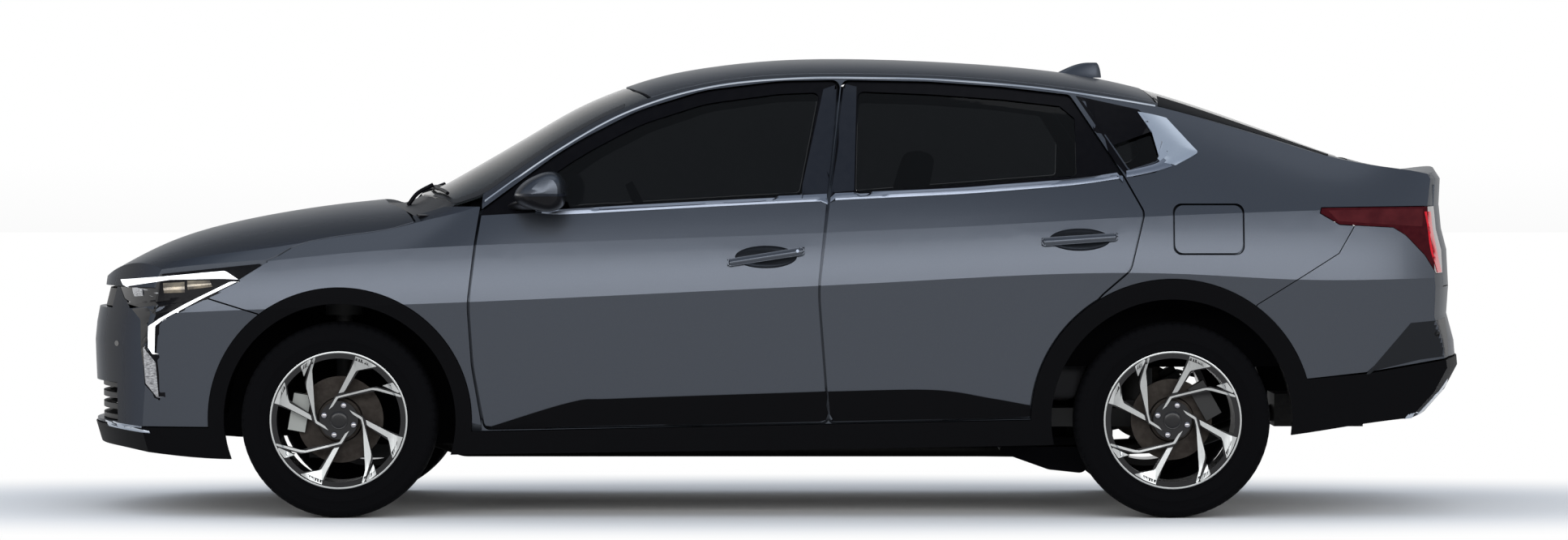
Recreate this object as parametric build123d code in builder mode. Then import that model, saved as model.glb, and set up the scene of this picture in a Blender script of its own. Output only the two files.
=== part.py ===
import os
from build123d import *
from scipy.interpolate import PchipInterpolator

os.makedirs("parts", exist_ok=True)

# Frame: X forward, Y to the car's left, Z up, origin on the ground under the middle. Millimetres.

# Wheels and axles
FRONT_AXLE_X = 1404
REAR_AXLE_X = -1286
WHEEL_Y = 772
TYRE_RADIUS = 316
TYRE_HALF_WIDTH = 101
BEAD_RADIUS = 213
RIM_RADIUS = 209
RIM_FLANGE_RADIUS = 222
RIM_HALF_WIDTH = 95
HUB_RADIUS = 62
BOLT_CIRCLE = 100
BOLT_HOLE = 13
BOLT_START = 72
CAP_RADIUS = 29
# One forked arm seen from outside the left wheel, right and up from the hub
THIN_ARM = ((-30, -40), (-78, -12), (-83, 1), (-109, 121), (-88, 203), (-74, 206), (-95, 120), (-69, 2),
            (-66, -4), (-30, -30))
SPLIT_TIP = ((-124, 172), (-109, 141), (-91, 198))
WIDE_ARM = ((-80, -6), (-155, 32), (-204, 50), (-168, 124), (-161, 66), (-80, 12))
FRONT_DISC_RADIUS = 140
REAR_DISC_RADIUS = 131
STEER_LIMIT = 35

# Panel thicknesses, counted inward from the outer skin
SKIN = 22
DOOR_SLAB = 42
REBATE = 52
FRAME_DEPTH = 104
DOOR_DEPTH = 100
GLASS_OUT = 12
GLASS_IN = 17
SCREEN_OUT = 3
SCREEN_IN = 9
BELT_STEP = 8
LID_DEPTH = 30
LAMP_DEPTH = 44
CLADDING_PROUD = 5
HANDLE_PROUD = 14
CLADDING_IN = 26
SHUT_GAP = 3

# Wheel arches: opening and outer edge of the plastic cladding
FRONT_ARCH_R = 376
FRONT_CLAD_R = 427
REAR_ARCH_R = 390
REAR_CLAD_R = 455

# Key lines of the body shell against X: half widths and heights
CREASE_Y = ((2300, 690), (2150, 752), (2020, 800), (1800, 846), (1600, 868), (1400, 877), (950, 882),
            (-1290, 882), (-1600, 874), (-1850, 850), (-2050, 806), (-2300, 720))
CREASE_Z = ((2300, 640), (1800, 668), (978, 698), (-145, 750), (-1145, 792), (-1500, 780), (-1729, 768),
            (-2300, 785))
SILL_Z = ((2300, 232), (2100, 215), (1800, 188), (1043, 203), (-773, 232), (-1286, 246), (-1673, 264),
          (-1867, 296), (-2300, 340))
SHOULDER_Z = ((2300, 745), (2155, 775), (1635, 829), (1321, 860), (967, 880), (692, 890), (0, 914),
              (-616, 941), (-1191, 972), (-1767, 993), (-2300, 1006))
RAIL_Y = ((2300, 560), (2155, 650), (2000, 716), (1800, 762), (1600, 786), (1400, 788), (1150, 776),
          (1050, 784), (951, 792), (814, 756), (667, 718), (521, 686), (374, 657), (228, 634), (81, 617),
          (-114, 606), (-307, 602), (-685, 605), (-1062, 624), (-1242, 640), (-1600, 672), (-1801, 690),
          (-1950, 702), (-2100, 706), (-2300, 690))
RAIL_Z = ((2300, 752), (2155, 785), (2000, 818), (1800, 850), (1600, 876), (1400, 908), (1250, 930),
          (1150, 955), (1050, 978), (951, 1010), (814, 1109), (667, 1207), (521, 1290), (374, 1349),
          (228, 1388), (81, 1410), (-114, 1422), (-307, 1422), (-497, 1418), (-685, 1406), (-874, 1388),
          (-1062, 1361), (-1242, 1331), (-1400, 1288), (-1600, 1228), (-1801, 1168), (-1950, 1138),
          (-2100, 1116), (-2300, 1096))
CENTRE_Z = ((2300, 715), (2227, 767), (2121, 834), (2021, 884), (1921, 921), (1721, 967), (1521, 1001),
            (1311, 1026), (1200, 1040), (1133, 1063), (987, 1143), (787, 1259), (636, 1344), (506, 1397),
            (385, 1435), (285, 1456), (84, 1483), (-116, 1494), (-285, 1494), (-412, 1491), (-606, 1481),
            (-800, 1469), (-1090, 1428), (-1207, 1401), (-1381, 1350), (-1538, 1293), (-1736, 1224),
            (-1852, 1176), (-1933, 1150), (-2029, 1131), (-2182, 1118), (-2300, 1104))
CREASED = ((2300, 0.85), (1250, 0.85), (1000, 0.5), (700, 0), (-500, 0), (-1500, 0.5), (-2300, 0.6))
STATIONS = (2300, 2150, 2000, 1800, 1600, 1400, 1250, 1133, 1040, 951, 814, 667, 521, 374, 228, 0, -307, -685,
            -1062, -1242, -1420, -1620, -1801, -1933, -2100, -2300)

# Nose and tail: X of the middle against Z, and how far the corners sweep back
NOSE_X = ((150, 2225), (235, 2252), (290, 2268), (430, 2270), (560, 2275), (680, 2258), (770, 2236),
          (850, 2200))
TAIL_X = ((150, -2010), (330, -2170), (480, -2275), (560, -2268), (650, -2244), (740, -2250), (860, -2244),
          (930, -2226), (1010, -2218), (1095, -2222), (1160, -2180))
NOSE_LEVELS = (150, 235, 290, 430, 500, 560, 620, 680, 770, 850, 1600)
TAIL_LEVELS = (100, 330, 400, 480, 560, 650, 740, 860, 930, 1010, 1095, 1160, 1600)
NOSE_SWEEP = 250
TAIL_SWEEP = 112
CORNER_Y = 790


def curve(knots):
    xs, values = zip(*sorted(knots))
    smooth = PchipInterpolator(xs, values)
    return lambda x: float(smooth(min(max(x, xs[0]), xs[-1])))


crease_y, crease_z, sill_z = curve(CREASE_Y), curve(CREASE_Z), curve(SILL_Z)
shoulder_z, rail_y, rail_z = curve(SHOULDER_Z), curve(RAIL_Y), curve(RAIL_Z)
centre_z, creased = curve(CENTRE_Z), curve(CREASED)
nose_x, tail_x = curve(NOSE_X), curve(TAIL_X)


def side_points(x, inset):
    width, z0, z1, z2 = crease_y(x), sill_z(x), crease_z(x), shoulder_z(x)
    y2 = width - 0.18 * (z2 - z1)
    y3, z3 = rail_y(x), rail_z(x)
    lean = 0.26 * (1 - creased(x)) + (y2 - y3) / (z3 - z2) * creased(x)
    below, middle, above = (z0 + z1) / 2, (z1 + z2) / 2, (z2 + z3) / 2
    points = [(width - 58, z0), (width - 0.14 * (z1 - below), below), (width, z1),
              (width - 0.1 * (middle - z1), middle), (y2, z2), (y2 - lean * (above - z2), above)]
    points = [(y - inset, z) for y, z in points]
    points[5] = (points[5][0] + 0.1 * inset, points[5][1] - 0.3 * inset)
    return points + [(y3 - 0.8 * inset, z3 - 0.6 * inset)]


def section(x, inset):
    side = side_points(x, inset)
    y3, z3 = side[6]
    z4 = centre_z(x) - inset
    z_edge = z3 + 0.55 * (z4 - z3)
    z_middle = (z4 - z3 / 16 - z_edge * 5 / 16) * 1.6
    crown = [(y3, z3), (0.82 * y3, z_edge), (0.36 * y3, z_middle)]
    other = [(-y, z) for y, z in side]
    Line(other[0], side[0])
    Bezier(side[0], side[1], side[2])
    Bezier(side[2], side[3], side[4])
    Bezier(side[4], side[5], side[6])
    Bezier(*crown, *[(-y, z) for y, z in reversed(crown)])
    Bezier(other[6], other[5], other[4])
    Bezier(other[4], other[3], other[2])
    Bezier(other[2], other[1], other[0])


def end_block(middle, levels, sweep, back):
    # The nose or the tail in plan at several heights, joined level by level.
    toward = 1 if back < 0 else -1
    with BuildPart() as block:
        for z in levels:
            tip = middle(z)
            corner = tip - toward * sweep
            with BuildSketch(Plane.XY.offset(z)):
                with BuildLine():
                    front = ThreePointArc((corner, -CORNER_Y), (tip, 0), (corner, CORNER_Y))
                    Polyline(front @ 1, (corner - toward * sweep, 1100), (back, 1100), (back, -1100),
                             (corner - toward * sweep, -1100), front @ 0)
                make_face()
        loft(ruled=True)
    return block.part


def hull(inset, ends=True):
    # The whole outer form moved inward; without ends it runs straight past nose and tail.
    with BuildPart() as body:
        for x in STATIONS:
            with BuildSketch(Plane.YZ.offset(x)):
                with BuildLine():
                    section(x, inset)
                make_face()
        loft()
    if not ends:
        return body.part
    nose = end_block(lambda z: nose_x(z) - inset, NOSE_LEVELS, NOSE_SWEEP, -3000)
    tail = end_block(lambda z: tail_x(z) + inset, TAIL_LEVELS, TAIL_SWEEP, 3000)
    return body.part & nose & tail


def moved(corners, grow):
    # Corners moved out by an even distance along both edges that meet there.
    area = sum(a[0] * b[1] - b[0] * a[1] for a, b in zip(corners, corners[1:] + corners[:1]))
    side = 1 if area > 0 else -1
    result = []
    for i, corner in enumerate(corners):
        here = Vector(corner[0], corner[1])
        before, after = Vector(*corners[i - 1][:2]), Vector(*corners[(i + 1) % len(corners)][:2])
        first, second = (here - before).normalized(), (after - here).normalized()
        n1, n2 = Vector(first.Y, -first.X) * side, Vector(second.Y, -second.X) * side
        here = here + (n1 + n2) * (grow / (1 + n1.dot(n2)))
        result.append((here.X, here.Y, *corner[2:]))
    return tuple(result)


def side_prism(corners, grow=0.0, y0=0, y1=1100):
    # Corners are X, Z and corner radius; the prism runs across the car.
    corners = moved(corners, grow)
    with BuildPart() as prism:
        with BuildSketch(Plane.XZ.offset(-y0)):
            with BuildLine():
                FilletPolyline(*[c[:2] for c in corners], radius=[c[2] for c in corners], close=True)
            make_face()
        extrude(amount=y0 - y1)
    return prism.part


def plan_prism(half, z0=100, z1=1700, grow=0.0):
    # Half an outline of X, Y points, mirrored about the car's middle plane.
    corners = half + tuple((x, -y) for x, y in reversed(half) if y)
    corners = moved(corners, grow)
    with BuildPart() as prism:
        with BuildSketch(Plane.XY.offset(z0)):
            with BuildLine():
                Polyline(*corners, close=True)
            make_face()
        extrude(amount=z1 - z0)
    return prism.part


def arch(x, radius, y0=500, y1=1100):
    with BuildPart() as round_cut:
        with BuildSketch(Plane.XZ.offset(-y0)):
            with Locations((x, TYRE_RADIUS)):
                Circle(radius)
        extrude(amount=y0 - y1)
    return round_cut.part


def block(x0, x1, y0, y1, z0, z1):
    return Pos((x0 + x1) / 2, (y0 + y1) / 2, (z0 + z1) / 2) * Box(abs(x1 - x0), abs(y1 - y0), z1 - z0)


def keep(shape, name):
    # One labelled piece with its own STEP file; several loose solids stay together.
    with BuildPart() as piece:
        add(shape)
    piece.part.label = name
    export_step(piece.part, f"parts/{name}.step")


def both(shape):
    return shape + mirror(shape, about=Plane.XZ)


def keep_pair(shape, name):
    keep(shape, f"{name}_left")
    keep(mirror(shape, about=Plane.XZ), f"{name}_right")


outer, skin, lid_in, lamp_in = hull(0.5), hull(SKIN), hull(LID_DEPTH), hull(LAMP_DEPTH)
proud, clad_in = hull(-CLADDING_PROUD), hull(CLADDING_IN)
step, slab, rebate = hull(BELT_STEP, False), hull(DOOR_SLAB, False), hull(REBATE, False)
jamb, deep = hull(REBATE - 2, False), hull(FRAME_DEPTH, False)
shell = outer - skin

# Outlines in side view: X, Z, corner radius
FRONT_DOOR = ((935, 286, 25), (972, 490, 500), (985, 690, 500), (962, 890, 200), (946, 992, 30),
              (667, 1199, 1200), (440, 1315, 500), (228, 1380, 500), (-20, 1411, 800), (-214, 1414, 25),
              (-143, 735, 500), (-176, 306, 20))
REAR_DOOR = ((-178, 306, 20), (-145, 735, 500), (-224, 1414, 25), (-500, 1409, 900), (-740, 1392, 800),
             (-962, 1366, 25), (-1133, 1100, 60), (-1196, 985, 40), (-1150, 800, 60), (-1060, 722, 100),
             (-905, 550, 250), (-846, 400, 200), (-838, 322, 15))
FRONT_WINDOW = ((868, 988, 12), (650, 1158, 1200), (430, 1272, 500), (222, 1339, 500), (-20, 1371, 600),
                (-150, 1376, 20), (-86, 1042, 15))
REAR_WINDOW = ((-264, 1048, 15), (-273, 1379, 20), (-500, 1370, 800), (-740, 1353, 600), (-930, 1331, 12),
               (-978, 1290, 12), (-978, 1104, 12))
FRONT_INNER = ((870, 368, 30), (900, 600, 100), (880, 880, 40), (850, 940, 20), (-80, 1000, 20),
               (-60, 740, 100), (-95, 388, 30))
REAR_INNER = ((-262, 388, 30), (-235, 740, 100), (-262, 1010, 20), (-1050, 1058, 20), (-1095, 985, 30),
              (-1060, 862, 60), (-960, 772, 80), (-825, 600, 100), (-762, 402, 30))
FRONT_OPENING = ((895, 345, 30), (925, 600, 100), (905, 930, 60), (630, 1149, 800), (425, 1254, 400),
                 (222, 1322, 400), (-20, 1356, 500), (-170, 1360, 30), (-82, 740, 200), (-114, 365, 30))
REAR_OPENING = ((-240, 365, 30), (-212, 740, 200), (-280, 1352, 30), (-500, 1347, 500), (-740, 1330, 500),
                (-915, 1308, 30), (-1065, 1075, 40), (-1125, 985, 30), (-1085, 842, 60), (-985, 752, 60),
                (-850, 590, 100), (-785, 385, 30))
BELT = ((1000, 970), (943, 976), (760, 986), (-174, 1032), (-587, 1057), (-868, 1078), (-1055, 1100),
        (-1200, 1112))
FENDER = ((946, 300, 2), (978, 490, 300), (991, 690, 300), (968, 890, 200), (951, 1004, 2), (1300, 1004, 2),
          (1660, 880, 2), (1634, 826, 2), (1730, 767, 2), (1830, 711, 2), (1665, 661, 2), (1404, 400, 2))
HEADLIGHT = ((1645, 822, 4), (1735, 766, 10), (1806, 724, 20), (2080, 684, 10), (2122, 703, 10),
             (2160, 768, 8))
DAY_LAMP = ((1725, 765, 2), (1757, 762, 2), (1900, 692, 8), (1998, 637, 8), (2027, 617, 4), (2028, 547, 4),
            (2005, 517, 2), (2001, 619, 6), (1971, 642, 8), (1847, 707, 8))
CORNER_LENS = ((2047, 557, 3), (2001, 503, 3), (1991, 377, 3), (2038, 429, 3))
FRONT_BUMPER = ((1830, 706, 2), (1665, 656, 2), (1404, 500, 2), (1404, 292, 2), (2400, 292, 2),
                (2400, 764, 2), (2150, 764, 2), (2100, 672, 2))
TAIL_LIGHT = ((-1766, 984, 3), (-1770, 1000, 3), (-2400, 1008, 3), (-2400, 788, 3), (-2146, 788, 5),
              (-2108, 848, 20), (-2046, 912, 20), (-2004, 938, 10), (-1828, 948, 10))
REAR_BUMPER = ((-1560, 688, 2), (-1825, 853, 2), (-1880, 946, 2), (-2400, 946, 2), (-2400, 516, 2),
               (-2201, 516, 2), (-1919, 470, 2), (-1664, 443, 2), (-1400, 420, 2))
VALANCE = ((-1600, 436, 2), (-1919, 464, 2), (-2201, 510, 2), (-2400, 510, 2), (-2400, 240, 2),
           (-1600, 240, 2))
SILL = ((1404, 289, 2), (1404, 150, 2), (-1286, 150, 2), (-1286, 400, 2), (-838, 315, 2), (935, 278, 2))
QUARTER_GLASS = ((-1003, 1352, 12), (-1187, 1306, 15), (-1268, 1182, 15), (-1236, 1150, 15),
                 (-1150, 1124, 12))
FUEL_FLAP = ((-1290, 852, 28), (-1290, 1012, 28), (-1515, 1012, 28), (-1515, 852, 28))

# Door handles: outline of the bar, and half sizes of the hollow behind it
FRONT_HANDLE = ((150, 812, 11), (150, 836, 11), (-98, 876, 11), (-98, 850, 11))
REAR_HANDLE = ((-863, 878, 11), (-863, 905, 11), (-1108, 921, 11), (-1108, 896, 11))
HANDLE_Y = 868
HANDLE_SCOOP = (100, 26, 38)

# Outlines in plan: X, Y of the left half
HOOD = ((2226, 0), (2222, 250), (2200, 480), (2160, 650), (2120, 728), (2000, 773), (1800, 812), (1640, 834),
        (1600, 822), (1560, 800), (1500, 786), (1380, 780), (1235, 774), (1164, 762), (1200, 600), (1270, 350),
        (1312, 0))
SCREEN = ((1185, 0), (1165, 250), (1110, 500), (1040, 706), (951, 726), (814, 691), (667, 655), (521, 624),
          (412, 603), (465, 400), (500, 150), (506, 0))
ROOF = ((498, 0), (492, 150), (457, 400), (402, 601), (228, 575), (81, 559), (-114, 549), (-307, 546),
        (-685, 549), (-1062, 567), (-1243, 582), (-1222, 350), (-1208, 0))
REAR_SCREEN = ((-1216, 0), (-1230, 350), (-1252, 582), (-1600, 609), (-1831, 626), (-1855, 350), (-1863, 0))
TRUNK = ((-1884, 0), (-1876, 350), (-1866, 648), (-1985, 652), (-2150, 600), (-2400, 598), (-2400, 0))
CENTRE = ((1400, 0), (1400, 772), (1164, 766), (1040, 728), (951, 730), (814, 695), (667, 659), (521, 628),
          (402, 605), (228, 579), (81, 563), (-114, 553), (-307, 550), (-685, 553), (-1062, 571), (-1243, 586),
          (-1600, 613), (-1838, 630), (-1862, 654), (-2050, 662), (-2154, 604), (-2400, 602), (-2400, 0))
COWL = ((1318, 0), (1276, 352), (1206, 604), (1172, 700), (1046, 700), (1114, 500), (1170, 250), (1190, 0))


grip = hull(-HANDLE_PROUD, False)


def door(corners, inside, opening, handle):
    # Outer slab with the window frame stepped in, an inner slab below the belt, a handle bar over its hollow.
    upper = side_prism([(x, z, 2) for x, z in BELT] + [(-1200, 1500, 2), (1000, 1500, 2)])
    cell = side_prism(corners, -SHUT_GAP)
    shell = ((outer & cell) - upper) + (step & cell & upper)
    middle = sum((Vector(*corner[:2]) for corner in handle), Vector()) / len(handle)
    hollow = Pos(middle.X, HANDLE_Y, middle.Y) * scale(Sphere(1), by=HANDLE_SCOOP)
    panel = (shell - slab) + ((slab & side_prism(inside)) - deep) - [side_prism(opening), hollow]
    return panel + ((grip & side_prism(handle)) - outer)


glass = hull(GLASS_OUT, False) - hull(GLASS_IN, False)
front_door = door(FRONT_DOOR, FRONT_INNER, FRONT_WINDOW, FRONT_HANDLE)
rear_door = door(REAR_DOOR, REAR_INNER, REAR_WINDOW, REAR_HANDLE) - arch(REAR_AXLE_X, REAR_CLAD_R + 6)
keep_pair(front_door, "front_door")
keep_pair(rear_door, "rear_door")
keep_pair(glass & side_prism(FRONT_WINDOW, -1), "front_door_glass")
keep_pair(glass & side_prism(REAR_WINDOW, -1), "rear_door_glass")
keep(both(glass & side_prism(QUARTER_GLASS, -1)), "quarter_windows")

# Hood, fenders, front end
hood_cut = plan_prism(HOOD, 740, 1100, SHUT_GAP)
keep(shell & plan_prism(HOOD, 742, 1100, -SHUT_GAP), "hood")
lamp_outlines = (HEADLIGHT, DAY_LAMP, CORNER_LENS)
lamp_cut = both(Part() + [side_prism(corners, 2, 478) for corners in lamp_outlines])
lamp = (outer & (Part() + [side_prism(corners, 0, 480) for corners in lamp_outlines])) - lamp_in
keep(both(lamp - hood_cut), "headlights")
front_clad = arch(FRONT_AXLE_X, FRONT_CLAD_R + 2)
fender = (shell & side_prism(FENDER, 0, 700)) - hood_cut - lamp_cut - front_clad
keep_pair(fender, "front_fender")
grille_area = block(1900, 2400, -474, 474, 670, 780) + block(1900, 2400, -559, 559, 300, 428)
front_bumper = shell & side_prism(FRONT_BUMPER, 0, -1100)
keep(front_bumper - lamp_cut - hood_cut - both(front_clad) - grille_area, "front_bumper")
grille = block(1900, 2400, -470, 470, 674, 732) + block(1900, 2400, -555, 555, 304, 424)
grille = grille - [block(1900, 2400, -535, 535, z, z + 18) for z in (319, 355, 391)]
keep((skin & grille) - lamp_in, "grille")
keep((lid_in & plan_prism(COWL, 850, 1200)) - rebate, "cowl_panel")

# Rear end
trunk_cut = plan_prism(TRUNK, 742, 1300, SHUT_GAP)
keep((outer & plan_prism(TRUNK, 745, 1300, -SHUT_GAP)) - lid_in, "trunk_lid")
tail_cut = both(side_prism(TAIL_LIGHT, 2, 600))
keep(both(((outer & side_prism(TAIL_LIGHT, 0, 602)) - lamp_in) - trunk_cut), "tail_lights")
rear_clad = arch(REAR_AXLE_X, REAR_CLAD_R + 2)
rear_bumper = shell & side_prism(REAR_BUMPER, 0, -1100)
keep(rear_bumper - tail_cut - trunk_cut - both(rear_clad), "rear_bumper")

# Roof and screens
keep(shell & plan_prism(ROOF, 1000), "roof_panel")
screens = hull(SCREEN_OUT, False) - hull(SCREEN_IN, False)
keep(screens & plan_prism(SCREEN, 900), "windshield")
keep(screens & plan_prism(REAR_SCREEN, 900), "rear_window")

# Side frames: sill, pillars, roof rail and quarter panel, rebated for the doors
centre = plan_prism(CENTRE)
frame_outer = (outer & block(-2300, 944, 300, 1100, 200, 1700)) - rebate
outlines = (FRONT_DOOR, REAR_DOOR, TAIL_LIGHT, REAR_BUMPER, VALANCE, SILL)
frame_outer = frame_outer - [side_prism(corners, SHUT_GAP) for corners in outlines]
frame_inner = (jamb & block(-1640, 1010, 300, 1100, 232, 1700)) - deep
frame_inner = frame_inner - [side_prism(FRONT_OPENING), side_prism(REAR_OPENING),
                             arch(REAR_AXLE_X, REAR_ARCH_R + 12)]
side_frame = ((frame_outer - rear_clad) + frame_inner) - centre - side_prism(QUARTER_GLASS)
keep(mirror(side_frame, about=Plane.XZ), "side_frame_right")
keep(side_frame - (side_prism(FUEL_FLAP, SHUT_GAP) - jamb), "side_frame_left")
keep((outer & side_prism(FUEL_FLAP, -SHUT_GAP)) - step, "fuel_flap")

# Dark plastic around the arches, sills, front lip and rear valance
around = arch(FRONT_AXLE_X, FRONT_CLAD_R) + arch(REAR_AXLE_X, REAR_CLAD_R) + side_prism(SILL)
around = around + side_prism(VALANCE) + block(1404, 2400, 0, 1100, 150, 288)
around = around - arch(FRONT_AXLE_X, FRONT_ARCH_R) - arch(REAR_AXLE_X, REAR_ARCH_R)
cladding = (proud & around) - clad_in
keep(both(cladding), "lower_cladding")

# Wheels: tyre, rim with eight arms and brake disc, modelled at the left side
def turned(x, y, profile):
    # A ring about the wheel's axle; the profile is given as distance along the axle and radius.
    with BuildPart() as ring:
        with BuildSketch(Plane((x, y, TYRE_RADIUS), x_dir=(0, 1, 0), z_dir=(1, 0, 0))):
            with BuildLine():
                Polyline(*profile, close=True)
            make_face()
        revolve(axis=Axis((x, y, TYRE_RADIUS), (0, 1, 0)))
    return ring.part


def tyre(x):
    with BuildPart() as ring:
        with BuildSketch(Plane((x, WHEEL_Y, TYRE_RADIUS), x_dir=(0, 1, 0), z_dir=(1, 0, 0))):
            with BuildLine():
                tread = Line((-76, TYRE_RADIUS), (76, TYRE_RADIUS))
                outside = Bezier(tread @ 1, (94, TYRE_RADIUS - 2), (97, 298), (TYRE_HALF_WIDTH, 268),
                                 (99, 244),
                                 (86, 224))
                bead = Polyline(outside @ 1, (84, BEAD_RADIUS), (-84, BEAD_RADIUS), (-86, 224))
                Bezier(bead @ 1, (-99, 244), (-TYRE_HALF_WIDTH, 268), (-97, 298), (-94, TYRE_RADIUS - 2),
                       tread @ 0)
            make_face()
        revolve(axis=Axis((x, WHEEL_Y, TYRE_RADIUS), (0, 1, 0)))
    return ring.part


def wheel(x, disc_radius):
    # Barrel, then four forked arms cut from a shallow cone, then the disc behind them.
    half, flange = RIM_HALF_WIDTH, RIM_FLANGE_RADIUS
    barrel = turned(x, WHEEL_Y, ((-half, 200), (half, 200), (half, flange), (88, flange), (86, RIM_RADIUS),
                                 (-86, RIM_RADIUS), (-88, flange), (-half, flange)))
    cone = turned(x, WHEEL_Y, ((42, 0), (42, 64), (58, 80), (66, 206), (92, 206), (82, 90), (80, 0)))
    face = Plane((x, WHEEL_Y + 40, TYRE_RADIUS), x_dir=(-1, 0, 0), z_dir=(0, 1, 0))
    with BuildPart() as arms:
        with BuildSketch(face):
            Circle(HUB_RADIUS)
            for turn in range(4):
                with Locations(Location((0, 0, 0), (0, 0, 90 * turn))):
                    Polygon(*THIN_ARM, align=None)
                    Polygon(*SPLIT_TIP, align=None)
                    Polygon(*WIDE_ARM, align=None)
            with PolarLocations(BOLT_CIRCLE / 2, 4, BOLT_START):
                Circle(BOLT_HOLE / 2, mode=Mode.SUBTRACT)
            Circle(CAP_RADIUS, mode=Mode.SUBTRACT)
        extrude(amount=60)
    disc = turned(x, WHEEL_Y, ((-4, 60), (-4, disc_radius), (18, disc_radius), (18, 74), (38, 70), (38, 30),
                               (18, 30), (18, 60)))
    return barrel + (arms.part & cone) + disc


for x, end in ((FRONT_AXLE_X, "front"), (REAR_AXLE_X, "rear")):
    keep_pair(tyre(x), f"tyre_{end}")
    keep_pair(wheel(x, FRONT_DISC_RADIUS if end == "front" else REAR_DISC_RADIUS), f"wheel_{end}")


def caliper(x, radius, turn):
    # A saddle over the disc's edge with five millimetres and more of room all round.
    saddle = Pos(0, 8, radius - 8) * Box(120, 72, 56)
    saddle = saddle - Pos(0, 7, 0) * Rot(90, 0, 0) * Cylinder(radius + 7, 38)
    return Pos(x, WHEEL_Y, TYRE_RADIUS) * Rot(0, turn, 0) * saddle


def upright(x, radius, turn):
    # Bearing housing behind the disc with the caliper's bracket.
    housing = turned(x, WHEEL_Y, ((-108, 0), (-108, 52), (-40, 52), (-40, 22), (12, 22), (12, 0)))
    bracket = Pos(x, WHEEL_Y, TYRE_RADIUS) * Rot(0, turn, 0) * Pos(0, -36, 80) * Box(70, 24, 150)
    return housing + bracket + caliper(x, radius, turn)


keep_pair(upright(FRONT_AXLE_X, FRONT_DISC_RADIUS, 80), "knuckle_front")

# Rear torsion beam with trailing arms, springs and brakes
beam = block(-1230, -1150, -570, 570, 300, 370)
arm = block(-1290, -860, 540, 600, 285, 345) + block(-1316, -1256, 590, 670, 286, 346)
spring = Pos(-1190, 480, 420) * Cylinder(52, 106)
keep(beam + both(arm + spring + upright(REAR_AXLE_X, REAR_DISC_RADIUS, -60)), "rear_axle")

# Front subframe with lower arms and struts
frame_front = block(1270, 1540, -330, 330, 170, 215)
lower_arm = block(1372, 1436, 320, 612, 176, 206)
strut = Pos(FRONT_AXLE_X, 585, 640) * Cylinder(26, 420) + Pos(FRONT_AXLE_X, 585, 745) * Cylinder(62, 190)
keep(frame_front + both(lower_arm) + both(strut), "front_suspension")

# Floor, bulkheads, inner arches and panels hidden under the skin
floor = block(-850, 1036, -690, 690, 222, 246) + block(-1110, -850, -530, 530, 222, 246)
floor = floor + block(1012, 1036, -640, 640, 222, 925) + block(-960, -540, -500, 500, 240, 350)
floor = floor + block(-1110, -1086, -530, 530, 222, 504) + block(-2130, -1086, -610, 610, 480, 504)
floor = floor + block(-1230, -1206, -605, 605, 500, 1003) + block(-1820, -1206, -605, 605, 985, 1003)
floor = floor + block(-2130, -2106, -540, 540, 480, 720)
inner_front = block(1020, 1560, 470, 490, 225, 860) + block(1540, 2066, 470, 490, 250, 700)
inner_front = inner_front + block(2040, 2066, 0, 490, 260, 660) + block(1290, 1520, 480, 690, 856, 874)
liner_front = arch(FRONT_AXLE_X, 404, 480, 726) - arch(FRONT_AXLE_X, 386, 470, 800)
liner_front = liner_front & block(900, 1900, 400, 900, 330, 900)
liner_front = liner_front - Pos(FRONT_AXLE_X, 585, 700) * Cylinder(72, 100)
inner_rear = block(-1690, -880, 600, 620, 482, 740) & arch(REAR_AXLE_X, 418, 500, 700)
liner_rear = arch(REAR_AXLE_X, 418, 600, 722) - arch(REAR_AXLE_X, 400, 590, 810)
liner_rear = liner_rear & block(-1800, -800, 500, 900, 360, 800)
keep(floor + both(inner_front + liner_front + inner_rear + liner_rear), "floor_pan")

# Cabin
dash = side_prism(((1000, 560, 10), (1000, 930, 20), (900, 960, 60), (560, 925, 60), (470, 830, 60),
                   (520, 640, 40), (760, 560, 40)), 0, -660, 660)
keep(dash - block(380, 640, 230, 530, 600, 830), "dashboard")


def seat(x, y0, y1, bottom, top):
    cushion = side_prism(((x - 60, bottom, 20), (x - 80, 470, 50), (x + 430, 505, 50),
                          (x + 450, bottom + 30, 30)), 0, y0, y1)
    rest = side_prism(((x - 60, 380, 30), (x - 260, top, 40), (x - 160, top + 10, 40), (x + 60, 470, 40)),
                      0, y0 + 15, y1 - 15)
    return cushion + rest


def headrest(x, y, z):
    pad = Pos(x, y, z) * Rot(0, -14, 0) * Box(90, 250, 170)
    return pad + Pos(x + 2, y, z - 110) * Rot(0, -14, 0) * Box(16, 120, 120)


front_seat = seat(-240, 130, 630, 300, 1000) + headrest(-470, 380, 1110) + block(-240, 120, 170, 590, 250, 320)
keep(both(front_seat), "front_seats")
keep(seat(-930, -580, 580, 360, 940), "rear_seat")

# Steering wheel, tilted toward the driver
column = Plane((410, 380, 905), x_dir=(0, 1, 0), z_dir=(-0.9, 0, 0.436))
with BuildPart() as steering_wheel:
    with BuildSketch(column):
        Circle(188)
        Circle(160, mode=Mode.SUBTRACT)
        Circle(62)
        with Locations((0, 0)):
            Rectangle(330, 44)
        with Locations((0, -90)):
            Rectangle(44, 160)
    extrude(amount=26)
keep(steering_wheel.part, "steering_wheel")

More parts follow.
